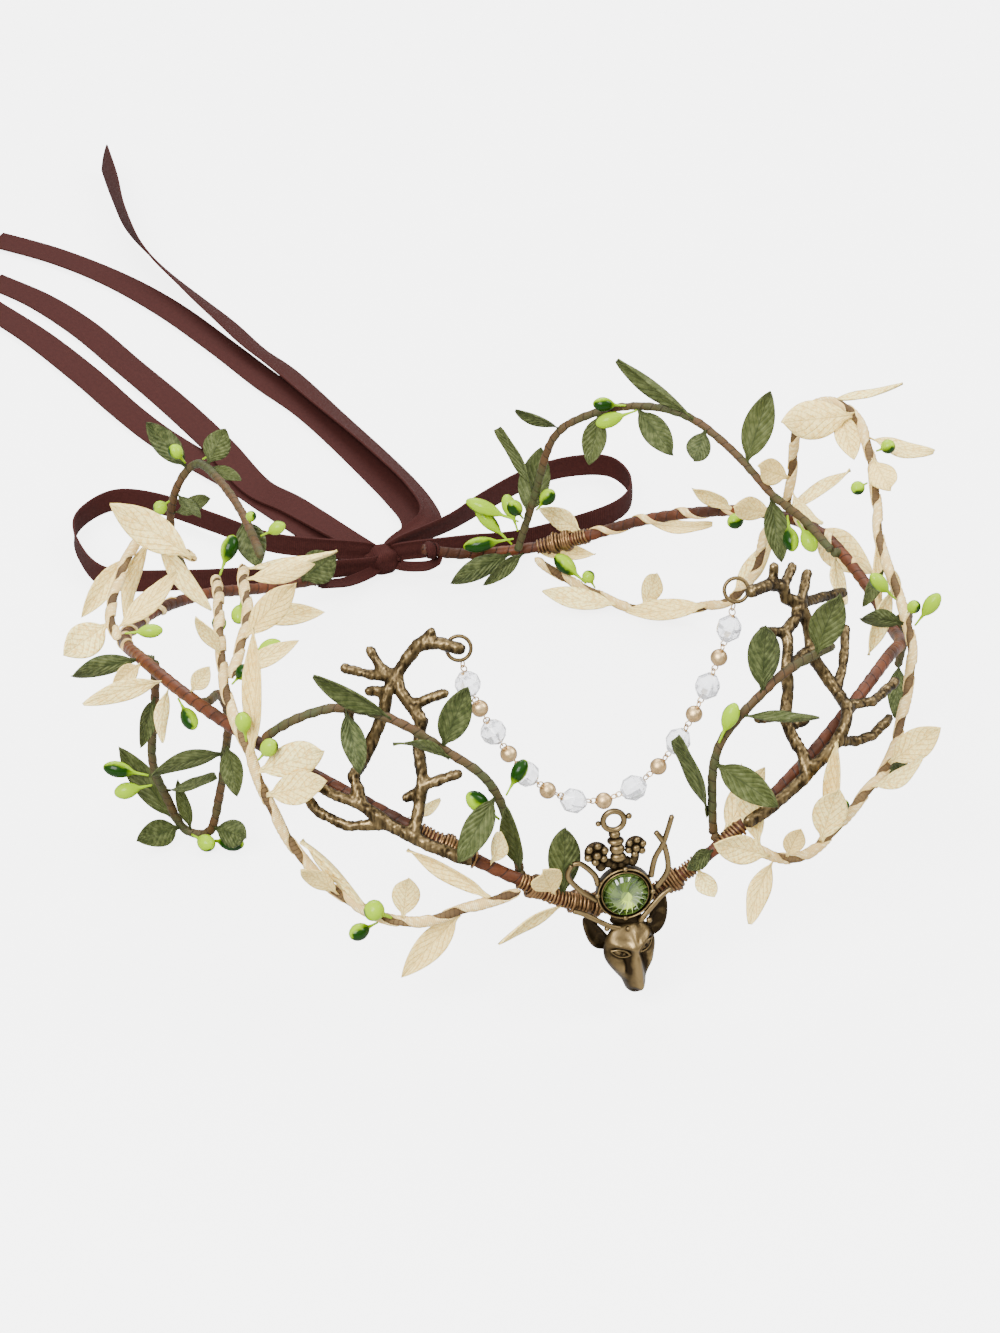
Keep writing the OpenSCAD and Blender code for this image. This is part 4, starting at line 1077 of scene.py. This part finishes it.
for ear in ([(-3.4, -14.0, -0.6), (-5.4, -12.6, -0.3), (-7.2, -10.0, -0.4), (-9.0, -6.6, -0.7)],
            [(4.9, -12.4, -1.2), (6.7, -10.0, -0.8), (8.1, -6.4, -0.8), (9.0, -2.0, -1)]):
    path = through(ear, 6)
    t = headings(path)
    last = len(path) - 1
    for v in grid(8, last).vertices:
        i = round(v.co.y * last)
        wide = 3.8 * math.sin(math.pi * min(0.12 + i / last * 0.84, 1)) ** 0.7 + 0.1
        out = square_to(Vector((0, 0, 1)), t[i]).cross(t[i])
        x = v.co.x - 0.5
        cup = 4.4 * x * x * math.sin(math.pi * i / last) - 0.4
        v.co = (path[i] + out * x * wide + Vector((0, 0, cup))) * mm
    modify("SOLIDIFY", thickness=0.7 * mm, offset=0)
    charm_add(lambda v: 0.08 + 0.4 * noise.noise(v.co * 500))

gem_radius = 5.15
lathe([(0, -1.5), (6.2, -1.5), (6.5, -1.2), (6.5, 0.9), (6.45, 1.25), (6.28, 1.42), (6.1, 1.25),
       (6.05, 0.9), (6.02, 0.3), (5.6, 0.3), (5.56, 0.8), (5.5, 1.1), (5.38, 1.22), (5.26, 1.1),
       (5.22, 0.8), (5.2, -0.4), (0, -0.4)], 72, mm)
charm_add(lambda v: 0.95 if v.co.z > 0.95 * mm else 0.05)
for k in range(12):
    a = math.radians(30 * k)
    charm_ball(6.35 * math.cos(a), 6.35 * math.sin(a), 1.0, 1.4 if k % 3 == 0 else 0.7)
bpy.ops.mesh.primitive_torus_add(major_segments=48, minor_segments=12, major_radius=2.4 * mm,
                                 minor_radius=0.7 * mm, location=Vector((-2.5, 18.5, 0)) * mm)
bpy.ops.object.transform_apply(location=True)
charm_add()
charm_wire([(-5.6, 18.1, 0), (-4.6, 18.3, 0)], 0.7, 6)
charm_wire([(0.6, 19.3, 0), (-0.4, 19.0, 0)], 0.7, 6)
for x, y, z, d, high, deep in (
        (-6, 18, 0, 1.35, 1, 1), (1, 19.4, 0, 1.5, 1, 1), (-2.3, 15.1, 0.1, 2.8, 0.8, 1),
        (-2.1, 13.5, 0.3, 4.0, 0.5, 0.9), (-1.8, 11.5, 0.5, 3.6, 0.8, 0.9),
        (-1.5, 9.3, 0.2, 3.8, 0.7, 0.8), (-4.4, -8.3, 1.9, 1.3, 1, 1),
        (0.4, -8.4, 2.4, 1.2, 1, 1), (5.4, -6.9, 1.8, 1.5, 1, 1)):
    charm_ball(x, y, z, d, (1, high, deep))
# A row of balls between the setting and the column above it, dark, with a faint painted highlight
# where they face the front.
for x, y, d in ((-5.4, 6.9, 2.6), (-3.6, 7.6, 2.4), (0.4, 7.9, 2.4), (1.9, 7.6, 2.4),
                (-0.6, 6.9, 2.2), (-2.4, 6.8, 2.2)):
    charm_ball(x, y, -0.2, d, (1, 1, 0.8), shade=lambda v: 0.3 * max(v.normal.z, 0) ** 4)
# A dark lump of painted shade under the setting, behind the top of the head.
charm_ball(0.6, -7.6, -0.8, 6.4, (1.25, 0.6, 0.5), shade=0)
for cx, cy, size in ((-6.5, 10.5, 1.2), (2.5, 11.6, 1.05)):
    charm_ball(cx, cy, -0.4, 4.6 * size, (1, 1, 0.4), shade=0)
    charm_ball(cx, cy, size, 1.7 * size)
    for k in range(6):
        a = 2 * math.pi * k / 6 + 0.4
        charm_ball(cx + size * 1.72 * math.cos(a), cy + size * 1.72 * math.sin(a), 0.4 * size,
                   1.65 * size)
charm_wire([(2.0, 7.4, -0.3), (2.4, 8.6, -0.2), (2.5, 10.0, -0.2)], 2.2, shade=0.1)
for points in (
        [(-6, 2, 0), (-7, 5, 0), (-10, 8, 0), (-12, 8, 0)],
        [(-6, -2, 0), (-10, 1, 0), (-13, 5, 0), (-12, 8, 0)],
        [(-1, -9, 1.2), (-4, -7.8, 1.4), (-9, -5, 0.6), (-12, -4, 0)],
        [(6, 3, 0), (7, 8, 0), (9, 12, 0), (11, 19, 0)],
        [(7, 0, 0), (10, 5, 0), (9, 12, 0)], [(9, 12, 0), (7, 15, 0)],
        [(3, -8, 1), (8, -2, 0.5), (11, 0, 0)]):
    charm_wire(points, 1.5)
joined(charm_parts)
charm_place = placed(-5, -97.4, 30.3, Z=-10, X=84)
bpy.context.object.data.transform(charm_place)
piece("deer_charm", ["deer_pendant"], antique_brass)

# Stone: a round cut glass stone in peridot green, with a small table, set on a foil in the
# charm's setting. Each facet has its own tone, and a painted highlight for the foil's shine
# brightens the facets a little below the middle.
stone_glass, tree, shader = material(
    "green_stone", Roughness=0.08, IOR=1.6, Transmission_Weight=0.2, Specular_IOR_Level=0.5,
    Coat_Weight=0.3, Coat_Roughness=0.02)
# Painted highlight: where the facet value is high, the stone is painted bright lime.
tone = plus(stored(tree, "facet"), times(clouds(on_object(tree), 330.0, 1.0), 0.12))
green = blend(span(tone, 0.05, 0.5), (0.012, 0.03, 0.006), (0.13, 0.2, 0.035))
paint(shader, blend(span(tone, 0.55, 0.95), green, (0.62, 0.85, 0.06)))

bpy.ops.mesh.primitive_cylinder_add(vertices=20, radius=gem_radius * mm, depth=0.8 * mm)
gem = bpy.context.object
for rise, ring_radius, turn in ((0.6, 4.5, 0.5), (0.8, 3.5, 0.0), (0.5, 2.4, 0.5), (0.2, 1.3, 0.0)):
    for face in gem.data.polygons:
        face.select = face.normal.z > 0.9 and face.center.z > 0
    bpy.ops.object.mode_set(mode="EDIT")
    bpy.ops.mesh.select_mode(type="FACE")
    bpy.ops.mesh.extrude_region_move(TRANSFORM_OT_translate={"value": (0, 0, rise * mm)})
    bpy.ops.object.mode_set(mode="OBJECT")
    top = max(v.co.z for v in gem.data.vertices)
    for v in [v for v in gem.data.vertices if abs(v.co.z - top) < 1e-7]:
        angle = math.atan2(v.co.y, v.co.x) + turn * math.pi / 10
        v.co.x, v.co.y = ring_radius * mm * math.cos(angle), ring_radius * mm * math.sin(angle)
modify("TRIANGULATE")
facets = gem.data.attributes.new("facet", "FLOAT", "FACE")
gem.data.transform(placed(0, 0, 0.1))


def facet_rank(face):
    """Its order by height and round the stone, which is the same in every run."""
    x, y, z = face.center / mm
    return round(z, 2), (math.atan2(y, x) + 0.05) % math.tau


for k, face in enumerate(sorted(gem.data.polygons, key=facet_rank)):
    # A tone that differs at random from facet to facet, plus the painted highlight a little below
    # the middle.
    painted_highlight = hill(face.center.x / mm - 0.4, face.center.y / mm + 1.6, 1.9, 2.2)
    facets.data[face.index].value = 0.3 * abs(math.sin(k * 2.7)) + 0.85 * painted_highlight
gem.data.transform(charm_place)
piece("green_stone_cut", ["pendant_gem"], stone_glass)

# Stage: a white paper sweep and soft light from a large box above, as in a catalogue
# photograph, so that the shadows are faint.
bpy.ops.mesh.primitive_plane_add(size=20, location=(0, 0, -0.0002))
floor = bpy.context.object
floor.name = "paper_floor"
paper, tree, shader = material("paper", Roughness=0.9, Emission_Color=(1, 1, 1, 1))
paint(shader, blend(clouds(on_object(tree), 40.0), (0.42, 0.42, 0.42), (0.46, 0.46, 0.46)))
ray = add(tree, "LightPath").outputs
seen = maths("MAXIMUM", ray["Is Camera Ray"], ray["Is Transmission Ray"])
feed(shader.inputs["Emission Strength"], times(seen, 4.2))
floor.data.materials.append(paper)

world = bpy.data.worlds.new("studio")
bpy.context.scene.world = world
world.use_nodes = True
sky = world.node_tree
up = xyz(add(sky, "TexCoord").outputs["Generated"])[2]
backdrop = sky.nodes["Background"].inputs
feed(backdrop[0], blend(span(up, 0.05, 0.75), (0.1, 0.095, 0.09), (1.0, 1.0, 1.0)))
feed(backdrop[1], 1.7)
for name, place, size, power in (("soft_box_left", (-0.8, -0.8, 1.1), 0.9, 54),
                                 ("soft_box_right", (1.0, -0.3, 1.0), 0.7, 20),
                                 ("soft_box_back", (0.1, 1.1, 1.2), 0.9, 23)):
    light = bpy.data.lights.new(name, "AREA")
    light.size = size
    light.energy = power
    look(new_object(name, light), place, (0, 0, 0.04))

for shape in shapes:
    bpy.data.objects.remove(shape)
bpy.context.view_layer.update()
